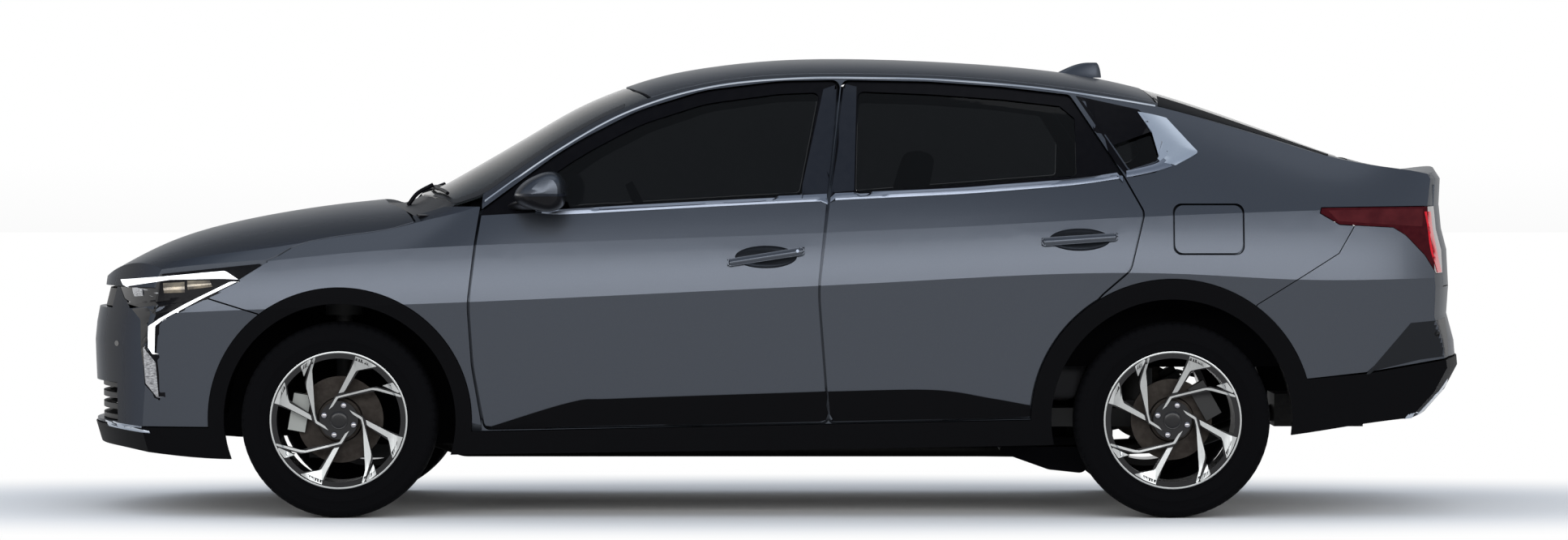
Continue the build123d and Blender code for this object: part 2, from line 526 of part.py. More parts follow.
# Under the car and in the engine bay
keep(block(1240, 1860, -400, 400, 300, 830), "engine")
TANK = ((-720, 214, 8), (-1030, 214, 8), (-1030, 126, 30), (-900, 140, 50), (-760, 190, 10))
keep(side_prism(TANK, 0, 60, 520), "fuel_tank")
with BuildPart() as exhaust:
    with BuildLine():
        FilletPolyline((1200, -120, 230), (1050, -150, 178), (-700, -150, 178), (-1000, -260, 170),
                       (-1400, -260, 190), (-1700, -260, 300), radius=60)
    with BuildSketch(Plane((1200, -120, 230), z_dir=(-150, -30, -52))):
        Circle(27)
    sweep()
    with Locations((-1840, -260, 310)):
        Box(300, 300, 110)
keep(exhaust.part, "exhaust")

# Door mirrors and roof fin
with BuildPart() as mirror_shell:
    with BuildSketch(Plane.YZ.offset(690)):
        with Locations((930, 1056)):
            RectangleRounded(170, 132, 34)
    with BuildSketch(Plane.YZ.offset(790)):
        with Locations((926, 1052)):
            RectangleRounded(150, 118, 36)
    with BuildSketch(Plane.YZ.offset(852)):
        with Locations((914, 1044)):
            RectangleRounded(90, 66, 26)
    loft()
foot = block(740, 812, 800, 880, 990, 1018) - outer
keep_pair(mirror_shell.part + foot, "mirror")
with BuildPart() as roof_fin:
    with BuildSketch(Plane.XZ):
        with BuildLine():
            Polyline((-915, 1440), (-915, 1459), (-1076, 1490), (-1096, 1482), (-1082, 1420), close=True)
        make_face()
    extrude(amount=12, both=True)
keep(roof_fin.part - outer, "roof_fin")
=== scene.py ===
import bpy
import bmesh
import math
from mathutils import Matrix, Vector
from mathutils.bvhtree import BVHTree


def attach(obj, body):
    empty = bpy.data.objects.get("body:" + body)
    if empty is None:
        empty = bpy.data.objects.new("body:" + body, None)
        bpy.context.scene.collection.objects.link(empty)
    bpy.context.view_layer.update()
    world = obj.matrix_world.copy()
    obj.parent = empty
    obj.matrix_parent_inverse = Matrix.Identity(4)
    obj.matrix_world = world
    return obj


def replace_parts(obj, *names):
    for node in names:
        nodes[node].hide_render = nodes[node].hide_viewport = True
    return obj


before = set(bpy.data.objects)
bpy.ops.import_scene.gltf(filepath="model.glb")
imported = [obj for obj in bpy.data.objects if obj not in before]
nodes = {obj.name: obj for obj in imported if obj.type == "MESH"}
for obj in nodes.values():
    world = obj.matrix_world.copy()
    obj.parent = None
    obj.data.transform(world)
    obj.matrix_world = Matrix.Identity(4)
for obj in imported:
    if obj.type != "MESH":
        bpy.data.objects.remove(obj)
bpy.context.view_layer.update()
sides = {"left": 1, "right": -1}
ends = ("front", "rear")
axles = {"front": 1.404, "rear": -1.286}
axleHeight = 0.316
wheelPlane = 0.772  # middle of a wheel, across the car
print("stage: frame loaded", len(nodes))

# Stage

stageLook = {
    "floor": (0.80, 0.80, 0.80), "floorSize": 160, "shadowReach": (1.1, 2.1), "shadowSquash": 0.42,
    "ground": (0.60, 0.60, 0.60), "horizon": (1.0, 1.0, 1.0),
    "sky": (0.56, 0.63, 0.74), "zenith": (0.58, 0.64, 0.72),
    "lamps": {"top": {"place": (0, 0, 7.5), "tilt": 0, "power": 110, "size": (10, 5)},
              "near": {"place": (0, 9.0, 3.2), "tilt": -90, "power": 640, "size": (16, 2.6)}}}
cameraLook = {"lens": 142.5, "sensor": 36, "reach": 200, "place": (-0.0324, 20.87, 1.15), "tilt": 89,
              "turn": 180}
scene = bpy.context.scene
scene.view_settings.view_transform = "Standard"
scene.view_settings.look = "None"


def makeCamera():
    cam = bpy.data.cameras.new("camera")
    cam.lens = cameraLook["lens"]
    cam.sensor_width = cameraLook["sensor"]
    cam.clip_end = cameraLook["reach"]
    obj = bpy.data.objects.new("camera", cam)
    obj.location = cameraLook["place"]
    obj.rotation_euler = (math.radians(cameraLook["tilt"]), 0, math.radians(cameraLook["turn"]))
    scene.collection.objects.link(obj)
    scene.camera = obj


def setInputs(node, values):
    for key, value in values.items():
        node.inputs[key].default_value = value


def shaderOf(mat):
    return mat.node_tree.nodes["Principled BSDF"]


def makeMaterial(name, color, rough=0.5, metal=0.0, coat=0.0, coatRough=0.03, spec=0.5, edge=(1, 1, 1)):
    mat = bpy.data.materials.new(name)
    mat.use_nodes = True
    values = {"Base Color": (*color, 1), "Roughness": rough, "Metallic": metal, "Coat Weight": coat,
              "Coat Roughness": coatRough, "Specular IOR Level": spec, "Specular Tint": (*edge, 1)}
    setInputs(shaderOf(mat), values)
    return mat


def addNode(mat, kind, **values):
    node = mat.node_tree.nodes.new(kind)
    for key, value in values.items():
        setattr(node, key, value)
    return node


def joinNodes(tree, *joins):
    for source, output, target, given in joins:
        tree.links.new(source.outputs[output], target.inputs[given])


def objectNoise(mat, scale, detail=3.0, stretch=(1, 1, 1)):
    coords = addNode(mat, "ShaderNodeTexCoord")
    mapping = addNode(mat, "ShaderNodeMapping")
    noise = addNode(mat, "ShaderNodeTexNoise")
    setInputs(mapping, {"Scale": stretch})
    setInputs(noise, {"Scale": scale, "Detail": detail})
    joinNodes(mat.node_tree, (coords, "Object", mapping, "Vector"), (mapping, "Vector", noise, "Vector"))
    return noise


def addBump(mat, scale, strength, distance):
    noise = objectNoise(mat, scale)
    bump = addNode(mat, "ShaderNodeBump")
    setInputs(bump, {"Strength": strength, "Distance": distance})
    joinNodes(mat.node_tree, (noise, "Fac", bump, "Height"), (bump, "Normal", shaderOf(mat), "Normal"))


def addShade(mat, scale, low, high, detail=4.0, stretch=(1, 1, 1)):
    noise = objectNoise(mat, scale, detail, stretch)
    ramp = addNode(mat, "ShaderNodeValToRGB")
    for element, place, color in zip(ramp.color_ramp.elements, (0.3, 0.7), (low, high)):
        element.position = place
        element.color = (*color, 1)
    joinNodes(mat.node_tree, (noise, "Fac", ramp, "Fac"), (ramp, "Color", shaderOf(mat), "Base Color"))


def makeWorld():
    # Pale at the horizon and darker overhead, like an open studio with a low light wall.
    world = bpy.data.worlds.new("studio")
    world.use_nodes = True
    tree = world.node_tree
    coords = tree.nodes.new("ShaderNodeTexCoord")
    split = tree.nodes.new("ShaderNodeSeparateXYZ")
    spread = tree.nodes.new("ShaderNodeMapRange")
    setInputs(spread, {"From Min": -1})
    ramp = tree.nodes.new("ShaderNodeValToRGB")
    stops = ((0.44, "ground"), (0.5, "horizon"), (0.62, "horizon"), (0.76, "sky"), (1.0, "zenith"))
    while len(ramp.color_ramp.elements) < len(stops):
        ramp.color_ramp.elements.new(0.5)
    for element, (place, key) in zip(ramp.color_ramp.elements, stops):
        element.position = place
        element.color = (*stageLook[key], 1)
    joinNodes(tree, (coords, "Generated", split, "Vector"), (split, "Z", spread, "Value"),
              (spread, "Result", ramp, "Fac"), (ramp, "Color", tree.nodes["Background"], "Color"))
    scene.world = world


def makeFloor():
    # Plain and pale round the car, where it keeps the shadow, and white further out, as the background is.
    bpy.ops.mesh.primitive_plane_add(size=stageLook["floorSize"], location=(0, 0, 0))
    floor = bpy.context.object
    floor.name = "floor"
    mat = makeMaterial("floorPale", stageLook["floor"], 0.9, spec=0.1)
    coords = addNode(mat, "ShaderNodeTexCoord")
    squash = addNode(mat, "ShaderNodeMapping")
    setInputs(squash, {"Scale": (stageLook["shadowSquash"], 1, 1)})
    reach = addNode(mat, "ShaderNodeVectorMath", operation="LENGTH")
    spread = addNode(mat, "ShaderNodeMapRange", interpolation_type="SMOOTHSTEP")
    near, far = stageLook["shadowReach"]
    setInputs(spread, {"From Min": near, "From Max": far})
    path = addNode(mat, "ShaderNodeLightPath")
    seen = addNode(mat, "ShaderNodeMath", operation="ADD")
    shown = addNode(mat, "ShaderNodeMath", operation="ADD", use_clamp=True)
    share = addNode(mat, "ShaderNodeMath", operation="MULTIPLY")
    white = addNode(mat, "ShaderNodeEmission")
    mix = addNode(mat, "ShaderNodeMixShader")
    result = mat.node_tree.nodes["Material Output"]
    joinNodes(mat.node_tree, (coords, "Object", squash, "Vector"), (squash, "Vector", reach, 0),
              (reach, "Value", spread, "Value"), (path, "Is Camera Ray", seen, 0),
              (path, "Is Glossy Ray", seen, 1), (seen, "Value", shown, 0),
              (path, "Is Transmission Ray", shown, 1), (shown, "Value", share, 0),
              (spread, "Result", share, 1), (share, "Value", mix, "Fac"), (shaderOf(mat), "BSDF", mix, 1),
              (white, "Emission", mix, 2), (mix, "Shader", result, "Surface"))
    floor.data.materials.append(mat)


def makeStage():
    makeWorld()
    makeFloor()
    for name, look in stageLook["lamps"].items():
        lamp = bpy.data.lights.new(name, "AREA")
        lamp.shape = "RECTANGLE"
        lamp.size, lamp.size_y = look["size"]
        lamp.energy = look["power"]
        obj = bpy.data.objects.new(name, lamp)
        obj.location = look["place"]
        obj.rotation_euler = (math.radians(look["tilt"]), 0, 0)
        obj.visible_camera = False
        scene.collection.objects.link(obj)


makeCamera()
makeStage()
print("stage: camera and light")

# Finishes

dull = (0.25, 0.25, 0.25)  # edge tint that keeps dark pieces dark at a low angle
paint = makeMaterial("paintGrey", (0.056, 0.063, 0.075), 0.28, 0.8, 0.04, 0.03, 0.5, (0.16, 0.18, 0.21))
addShade(paint, 900, (0.051, 0.057, 0.069), (0.062, 0.069, 0.082), 2.0)
cladding = makeMaterial("claddingPlastic", (0.0035, 0.0035, 0.004), 0.6, spec=0.05, edge=dull)
addBump(cladding, 700, 0.25, 0.0006)
blackGloss = makeMaterial("blackGloss", (0.003, 0.003, 0.004), 0.2, spec=0.12, edge=dull)
addShade(blackGloss, 40, (0.0025, 0.0025, 0.0035), (0.0035, 0.0035, 0.0045))
pillarGloss = makeMaterial("pillarGloss", (0.010, 0.012, 0.017), 0.2, spec=0.4, edge=dull)
addShade(pillarGloss, 40, (0.009, 0.011, 0.016), (0.011, 0.013, 0.018))
tint = makeMaterial("tintedGlass", (0.06, 0.063, 0.066), 0.0)
setInputs(shaderOf(tint), {"IOR": 1.22, "Transmission Weight": 1.0})
addShade(tint, 3, (0.057, 0.060, 0.063), (0.063, 0.066, 0.069))
screenTint = makeMaterial("screenGlass", (0.018, 0.021, 0.022), 0.1, spec=0.02)
setInputs(shaderOf(screenTint), {"Alpha": 0.9})
addShade(screenTint, 3, (0.011, 0.013, 0.014), (0.013, 0.015, 0.016))
rubber = makeMaterial("tyreRubber", (0.003, 0.003, 0.0035), 0.75, spec=0.05, edge=dull)
addBump(rubber, 500, 0.2, 0.0005)
alloy = makeMaterial("alloyBright", (0.36, 0.37, 0.37), 0.32, 1.0)
addShade(alloy, 400, (0.33, 0.34, 0.34), (0.39, 0.40, 0.40), 3.0)
rimBlack = makeMaterial("rimBlack", (0.004, 0.004, 0.005), 0.25, spec=0.3)
addShade(rimBlack, 40, (0.0035, 0.0035, 0.0045), (0.0045, 0.0045, 0.0055))
iron = makeMaterial("castIron", (0.03, 0.03, 0.03), 0.6, 0.3, spec=0.2)
addBump(iron, 300, 0.3, 0.0006)
discIron = makeMaterial("discIron", (0.022, 0.019, 0.017), 0.45, 0.9)
addShade(discIron, 60, (0.017, 0.014, 0.012), (0.029, 0.025, 0.022), 6.0)
caliperSilver = makeMaterial("caliperSilver", (0.24, 0.25, 0.24), 0.5, 0.7)
addBump(caliperSilver, 260, 0.25, 0.0006)
dark = makeMaterial("underbodyDark", (0.0025, 0.0025, 0.003), 0.7, spec=0.04, edge=dull)
addBump(dark, 200, 0.2, 0.0008)
noseBlack = makeMaterial("noseBlack", (0.004, 0.004, 0.005), 0.45, spec=0.08, edge=(0.06, 0.06, 0.06))
addBump(noseBlack, 500, 0.2, 0.0005)
interior = makeMaterial("interiorPlastic", (0.02, 0.02, 0.022), 0.6)
addBump(interior, 600, 0.2, 0.0005)
fabric = makeMaterial("seatFabric", (0.03, 0.03, 0.033), 0.9)
addBump(fabric, 900, 0.4, 0.001)
lampRed = makeMaterial("lampRed", (0.035, 0.004, 0.006), 0.1, spec=0.3, edge=(0.12, 0.1, 0.1))
addShade(lampRed, 60, (0.030, 0.003, 0.005), (0.042, 0.005, 0.007))
lampClear = makeMaterial("lampBlack", (0.004, 0.004, 0.005), 0.12, spec=0.35, edge=(0.12, 0.12, 0.12))
addShade(lampClear, 60, (0.003, 0.003, 0.004), (0.006, 0.006, 0.007))
steel = makeMaterial("steelPipe", (0.012, 0.012, 0.012), 0.5, 0.8)
addShade(steel, 80, (0.009, 0.009, 0.009), (0.015, 0.015, 0.015))
satinTrim = makeMaterial("satinTrim", (0.40, 0.44, 0.50), 0.28, 1.0)
addShade(satinTrim, 500, (0.38, 0.42, 0.48), (0.42, 0.46, 0.52), 2.0)
# Bright metal for the roof rail line: a painted highlight, standing in for the light caught on the rail's
# body-colour edge.
railHighlight = makeMaterial("railHighlightMetal", (0.42, 0.44, 0.47), 0.2, 1.0)
addShade(railHighlight, 300, (0.40, 0.42, 0.45), (0.44, 0.46, 0.49), 2.0)
beltMetal = makeMaterial("beltMetal", (0.16, 0.18, 0.22), 0.32, 1.0)
addShade(beltMetal, 300, (0.15, 0.17, 0.21), (0.17, 0.19, 0.23), 2.0)

finishes = (
    (paint, ("front_door", "rear_door", "front_fender", "side_frame", "mirror", "hood", "front_bumper",
             "trunk_lid", "rear_bumper", "roof_panel", "fuel_flap", "roof_fin")),
    (tint, ("front_door_glass", "rear_door_glass", "quarter_windows")),
    (screenTint, ("windshield", "rear_window")),
    (cladding, ("lower_cladding",)),
    (noseBlack, ("grille", "cowl_panel", "fuel_tank")),
    (lampClear, ("headlights",)),
    (lampRed, ("tail_lights",)),
    (rubber, ("tyre_front", "tyre_rear")),
    (rimBlack, ("wheel_front", "wheel_rear")),
    (iron, ("knuckle_front", "rear_axle", "front_suspension", "engine")),
    (dark, ("floor_pan",)),
    (interior, ("dashboard", "steering_wheel")),
    (fabric, ("front_seats", "rear_seat")),
    (steel, ("exhaust",)))
lookOf = {name: mat for mat, names in finishes for name in names}
for name, obj in nodes.items():
    base = name.removesuffix("_left").removesuffix("_right")
    obj.data.materials.clear()
    obj.data.materials.append(lookOf[base])


def finishFaces(name, mat, test):
    # Gives the faces of a CAD piece that pass the test a finish of their own.
    mesh = nodes[name].data
    mesh.materials.append(mat)
    index = len(mesh.materials) - 1
    for face in mesh.polygons:
        if test(face.center, face.normal):
            face.material_index = index


beltLine = ((1.0, 0.970), (0.943, 0.976), (0.760, 0.986), (-0.174, 1.032), (-0.587, 1.057), (-0.868, 1.078),
            (-1.055, 1.100), (-1.200, 1.112))


def lineHeight(line, x):
    for (x0, z0), (x1, z1) in zip(line, line[1:]):
        if x1 <= x <= x0:
            return z0 + (z1 - z0) * (x0 - x) / (x0 - x1)
    return line[0][1] if x > line[0][0] else line[-1][1]


finishZones = {"frameOver": 0.0005, "discReach": 0.142, "discInside": 0.815, "archReach": 0.48,
               "archFacing": 0.3, "caliperFrom": 0.1}


def wheelReach(place, end):
    return math.hypot(place.x - axles[end], place.z - axleHeight)


def finishZone(side, toward):
    # Window frames, brake discs, wheel arch insides and calipers.
    zones = finishZones
    for end in ends:
        finishFaces(f"{end}_door_{side}", blackGloss,
                    lambda c, n: c.z > lineHeight(beltLine, c.x) - zones["frameOver"])
    for end in ends:
        finishFaces(f"wheel_{end}_{side}", discIron,
                    lambda c, n: (c.y * toward < zones["discInside"]
                                  and wheelReach(c, end) < zones["discReach"]))
        for name in (f"side_frame_{side}", f"front_fender_{side}", "front_bumper", "rear_bumper"):
            finishFaces(name, dark, lambda c, n: (wheelReach(c, end) < zones["archReach"] and c.y * toward > 0
                                                  and n.y * toward < zones["archFacing"]))
    finishFaces(f"knuckle_front_{side}", caliperSilver,
                lambda c, n: wheelReach(c, "front") > zones["caliperFrom"])


for side, toward in sides.items():
    finishZone(side, toward)
print("stage: finishes")

# Trim laid on the CAD skin

skinTrees = {}


def skinOf(*names):
    if names not in skinTrees:
        points, faces = [], []
        for name in names:
            mesh = nodes[name].data
            start = len(points)
            points += [v.co.copy() for v in mesh.vertices]
            faces += [[start + i for i in p.vertices] for p in mesh.polygons]
        skinTrees[names] = BVHTree.FromPolygons(points, faces)
    return skinTrees[names]


def skinPoint(skin, a, b, look):
    # Point and outward direction of the skin, seen from one side of the car or from the top.
    start, ray = {"left": ((a, 1.6, b), (0, -1, 0)), "right": ((a, -1.6, b), (0, 1, 0)),
                  "top": ((a, b, 2.5), (0, 0, -1))}[look]
    place, normal, _, _ = skin.ray_cast(Vector(start), Vector(ray))
    if place is None:
        near = Vector(start) + Vector(ray) * 0.75
        place, normal, _, _ = skin.find_nearest(near)
    if normal.dot(Vector(ray)) > 0:
        normal = -normal
    return place, normal


def smoothPath(points, count):
    # Even points along a curve through the given ones.
    points = [Vector(p) for p in points]
    if len(points) == 2:
        return [points[0].lerp(points[1], i / count) for i in range(count + 1)]
    guides = [points[0] * 2 - points[1]] + points + [points[-1] * 2 - points[-2]]
    fine = []
    for p0, p1, p2, p3 in zip(guides, guides[1:], guides[2:], guides[3:]):
        for i in range(12):
            t = i / 12
            fine.append(0.5 * (2 * p1 + (p2 - p0) * t + (2 * p0 - 5 * p1 + 4 * p2 - p3) * t * t
                               + (3 * p1 - p0 - 3 * p2 + p3) * t ** 3))
    fine.append(points[-1])
    return evenPath(fine, count)


def evenPath(points, count):
    points = [Vector(p) for p in points]
    reach = [0.0]
    for a, b in zip(points, points[1:]):
        reach.append(reach[-1] + (b - a).length)
    path, k = [], 0
    for i in range(count + 1):
        want = reach[-1] * i / count
        while k < len(points) - 2 and reach[k + 1] < want:
            k += 1
        span = max(reach[k + 1] - reach[k], 1e-9)
        path.append(points[k].lerp(points[k + 1], min(max((want - reach[k]) / span, 0), 1)))
    return path


def finishPiece(name, mesh, mats, body, angle=35):
    mesh.update()
    shape = bmesh.new()
    shape.from_mesh(mesh)
    bmesh.ops.remove_doubles(shape, verts=shape.verts, dist=1e-6)
    bmesh.ops.recalc_face_normals(shape, faces=shape.faces)
    shape.to_mesh(mesh)
    shape.free()
    for mat in mats if isinstance(mats, (list, tuple)) else [mats]:
        mesh.materials.append(mat)
    mesh.polygons.foreach_set("use_smooth", [True] * len(mesh.polygons))
    mesh.set_sharp_from_angle(angle=math.radians(angle))
    obj = bpy.data.objects.new(name, mesh)
    scene.collection.objects.link(obj)
    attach(obj, body)
    return obj


def toMetres(line):
    return [(a / 1000, b / 1000) for a, b in line]


def between(pair, t):
    return pair[0] + (pair[1] - pair[0]) * t


def sheetMesh(name, outside, inside, wide):
    # A closed plate from an outer and an inner grid of points, listed row by row.
    count = len(outside)
    rows, last = count // wide, count - wide
    faces = []
    for j in range(rows - 1):
        for i in range(wide - 1):
            a = j * wide + i
            faces.append((a, a + 1, a + wide + 1, a + wide))
            faces.append((count + a, count + a + wide, count + a + wide + 1, count + a + 1))
    rim = list(range(wide)) + [j * wide + wide - 1 for j in range(1, rows)]
    rim += [last + i for i in range(wide - 2, -1, -1)] + [j * wide for j in range(rows - 2, 0, -1)]
    for a, b in zip(rim, rim[1:] + rim[:1]):
        faces.append((a, count + a, count + b, b))
    mesh = bpy.data.meshes.new(name)
    mesh.from_pydata(outside + inside, [], faces)
    return mesh


def ribbonMesh(name, lower, upper, skin, look, lift, depth=0.002, along=48, across=4, crown=0.0, sharp=False):
    # A closed strip between two lines, laid on the skin and raised from it, rounded over by the crown.
    path = evenPath if sharp else smoothPath
    lows, highs = path(lower, along), path(upper, along)
    outside, inside = [], []
    for j in range(across + 1):
        t = j / across
        rise = lift + crown * (1 - (2 * t - 1) ** 2)
        for a, b in zip(lows, highs):
            spot = a.lerp(b, t)
            place, normal = skinPoint(skin, spot.x, spot.y, look)
            outside.append(place + normal * rise)
            inside.append(place - normal * depth)
    return sheetMesh(name, outside, inside, along + 1)


def loftMesh(name, rings):
    # A closed skin over rings with equal counts of points.
    count = len(rings[0])
    points = [p for ring in rings for p in ring]
    faces = [tuple(range(count)), tuple(range(len(points) - count, len(points)))]
    for k in range(len(rings) - 1):
        for n in range(count):
            m = (n + 1) % count
            faces.append((k * count + n, k * count + m, (k + 1) * count + m, (k + 1) * count + n))
    mesh = bpy.data.meshes.new(name)
    mesh.from_pydata(points, [], faces)
    return mesh


def tubeMesh(name, path, radius, count=12):
    rings = []
    for k, spot in enumerate(path):
        along = (path[min(k + 1, len(path) - 1)] - path[max(k - 1, 0)]).normalized()
        across = along.cross(Vector((0, 0, 1))).normalized()
        over = across.cross(along)
        turns = [2 * math.pi * n / count for n in range(count)]
        rings.append([spot + (across * math.cos(t) + over * math.sin(t)) * radius for t in turns])
    return loftMesh(name, rings)


def layRibbon(name, lower, upper, names, look, mat, body, slotName, **shape):
    mesh = ribbonMesh(name, toMetres(lower), toMetres(upper), skinOf(*names), look, **shape)
    finishPiece(name, mesh, mat, body)


def layDisc(name, place, radius, names, look, mat, body, slotName, lift=0.001):
    a, b = place
    turns = [math.radians(t) for t in range(0, 181, 15)]
    ring = [(a + radius * math.cos(t), b + radius * math.sin(t)) for t in turns]
    foot = [(x, 2 * b - z) for x, z in ring]
    layRibbon(name, foot, ring, names, look, mat, body, slotName, lift=lift, along=16, across=8, sharp=True)


def doorOf(end, side):
    # The skin that a door's trim lies on, and the body that it rides.
    return (f"{end}_door_{side}",), f"{end}_door_body_{side}"


def layDoorRibbon(name, lower, upper, end, side, mat, slotName, **shape):
    names, body = doorOf(end, side)
    layRibbon(name, lower, upper, names, side, mat, body, slotName, **shape)


sideTrim = {
    "frontCladTop": ((936, 288), (653, 374), (509, 385), (-166, 408)),
    "frontCladFoot": ((936, 286), (653, 293), (509, 296), (-173, 311)),
    "rearCladTop": ((-174, 408), (-511, 413), (-700, 386), (-832, 362)),
    "rearCladFoot": ((-182, 311), (-511, 318), (-700, 322), (-832, 326)),
    "beltTop": ((770, 992), (676, 1000), (423, 1016), (160, 1030), (-84, 1041), (-171, 1045), (-224, 1048),
                (-573, 1063), (-748, 1076), (-966, 1093), (-1110, 1113), (-1184, 1128), (-1237, 1143),
                (-1262, 1160)),
    "beltFoot": ((770, 984), (676, 979), (423, 992), (160, 1006), (-84, 1018), (-171, 1022), (-224, 1026),
                 (-573, 1043), (-748, 1055), (-966, 1073), (-1110, 1093), (-1184, 1106), (-1237, 1118),
                 (-1290, 1134)),
    "beltSpans": {"front": (770, -171), "rear": (-182, -1128), "shell": (-1140, -1290)}, "beltTopEnd": -1262,
    "rail": ((935, 1022), (814, 1109), (667, 1207), (521, 1290), (374, 1349), (228, 1388), (81, 1410),
             (-114, 1422), (-307, 1422), (-497, 1418), (-685, 1406), (-874, 1388), (-1062, 1361),
             (-1242, 1331)),
    "bladeFront": ((-1183, 1311), (-1225, 1248), (-1267, 1178), (-1262, 1160), (-1250, 1146)),
    "bladeRear": ((-1276, 1291), (-1358, 1199), (-1373, 1182), (-1362, 1170), (-1300, 1137)),
    "sealLow": ((-1250, 1331), (-1400, 1292), (-1600, 1233), (-1800, 1169)),
    "sealHigh": ((-1262, 1366), (-1400, 1321), (-1600, 1250), (-1812, 1174)),
    "railHalf": 2.5, "claddingProud": 0.005, "trimProud": 0.0035}


def cutLine(line, x0, x1):
    # The part of a line between two X places, front to rear.
    inside = [p for p in line if x1 < p[0] < x0]
    return [(x0, lineHeight(line, x0))] + inside + [(x1, lineHeight(line, x1))]


def layDoorTrim(side):
    trim, panel, shell = sideTrim, (f"side_frame_{side}",), "body"
    for end in ends:
        layDoorRibbon(f"{end}DoorCladding_{side}", trim[f"{end}CladFoot"], trim[f"{end}CladTop"], end, side,
                      cladding, "cladding", lift=trim["claddingProud"])
    for place, (x0, x1) in trim["beltSpans"].items():
        names, body = (panel, shell) if place == "shell" else doorOf(place, side)
        top = cutLine(trim["beltTop"], x0, max(x1, trim["beltTopEnd"]))
        foot = cutLine(trim["beltFoot"], x0, x1)
        layRibbon(f"beltTrim_{body}", foot, top, names, side, beltMetal, body, "alloy",
                  lift=trim["trimProud"], crown=0.002)
    # Painted highlight: a thin bright metal strip along the roof rail, where the body-colour edge catches the
    # light.
    low = [(x, z - trim["railHalf"]) for x, z in trim["rail"]]
    high = [(x, z + trim["railHalf"]) for x, z in trim["rail"]]
    layRibbon(f"railLine_{side}", low, high, panel, side, railHighlight, shell, "alloy", lift=0.002, along=90,
              across=2)
    layRibbon(f"rearScreenSeal_{side}", trim["sealLow"], trim["sealHigh"], panel + ("rear_window",), side,
              dark, shell, "black_gloss", lift=0.001, along=60)
    layRibbon(f"pillarBlade_{side}", trim["bladeFront"], trim["bladeRear"], panel, side, satinTrim, shell,
              "alloy", lift=0.003, crown=0.003, along=40, across=8)


for side in sides:
    layDoorTrim(side)
print("stage: side trim")

# Quarter window surround, door mirrors and pillar plates

quarterTrim = {
    "glass": ((-1003, 1350), (-1187, 1304), (-1266, 1182), (-1236, 1152), (-1150, 1126), (-1003, 1350)),
    "edge": ((-984, 1364), (-1192, 1318), (-1280, 1181), (-1240, 1140), (-1146, 1112), (-984, 1364))}


def layQuarterTrim(side):
    layRibbon(f"quarterSurround_{side}", quarterTrim["glass"], quarterTrim["edge"], (f"side_frame_{side}",),
              side, blackGloss, "body", "black_gloss", lift=0.0012, along=60, across=2, sharp=True)


mirrorLook = {
    "outline": ((846, 1040), (836, 1062), (806, 1090), (768, 1110), (734, 1121), (700, 1120), (676, 1103),
                (664, 1076), (662, 1046), (668, 1014), (688, 994), (724, 984), (770, 990), (812, 1004),
                (840, 1020)),
    "middle": (752, 1052), "across": (838, 1022), "rows": 18, "around": 56, "rounding": 3.2,
    "endSize": 0.06, "taper": 0.16, "sweep": 34, "sweepFrom": 662, "sweepLength": 184, "split": 1.047,
    "strip": 0.008, "cut": 0.667, "foot": (806, 1008, 54, 16), "head": (778, 1020, 44, 20), "headAt": 890,
    "footSunk": 4}
mirrorLower = makeMaterial("mirrorLower", (0.006, 0.006, 0.007), 0.3, spec=0.3, edge=dull)
addBump(mirrorLower, 500, 0.1, 0.0004)
mirrorGlass = makeMaterial("mirrorGlass", (0.45, 0.47, 0.50), 0.03, 1.0)
addShade(mirrorGlass, 20, (0.44, 0.46, 0.49), (0.46, 0.48, 0.51))


def makeMirror(side):
    # Rounded housing: the traced outline grown and shrunk across the car, cut flat behind for the glass.
    toward, look = sides[side], mirrorLook
    outline = look["outline"]
    ring = smoothPath(outline + outline[:1], look["around"])[:-1]
    mid = Vector(look["middle"])
    rings = []
    for k in range(look["rows"] + 1):
        t = k / look["rows"]
        u = abs(2 * t - 1)
        grow = max(1 - u ** look["rounding"], 0.0) ** (1 / look["rounding"])
        grow = max(grow, look["endSize"]) * (1 - look["taper"] * t)
        y = toward * between(look["across"], t) / 1000
        row = []
        for v in ring:
            spot = mid + (v - mid) * grow
            lean = -look["sweep"] * t * t * (spot.x - look["sweepFrom"]) / look["sweepLength"]
            row.append(((spot.x + lean) / 1000, y, spot.y / 1000))
        rings.append(row)
    mesh = loftMesh("mirrorHousing", rings)
    shape = bmesh.new()
    shape.from_mesh(mesh)
    stripFoot = look["split"] - look["strip"]
    cuts = (((look["cut"], 0, 0), (1, 0, 0), True), ((0, 0, look["split"]), (0, 0, 1), False),
            ((0, 0, stripFoot), (0, 0, 1), False))
    for place, facing, clear in cuts:
        parts = shape.verts[:] + shape.edges[:] + shape.faces[:]
        cut = bmesh.ops.bisect_plane(shape, geom=parts, plane_co=place, plane_no=facing,
                                     clear_inner=clear, dist=1e-6)
        if clear:
            edges = [e for e in cut["geom_cut"] if isinstance(e, bmesh.types.BMEdge)]
            bmesh.ops.holes_fill(shape, edges=edges)
    shape.to_mesh(mesh)
    shape.free()
    mats = (paint, mirrorLower, pillarGloss, mirrorGlass)
    obj = finishPiece(f"doorMirror_{side}", mesh, mats, f"front_door_body_{side}", 30)
    for face in obj.data.polygons:  # paint above, black below, glass behind
        c = face.center
        if c.x < look["cut"] + 0.0003:
            face.material_index = 3
        elif c.z < stripFoot:
            face.material_index = 1
        elif c.z < look["split"]:
            face.material_index = 2
    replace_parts(obj, f"mirror_{side}")


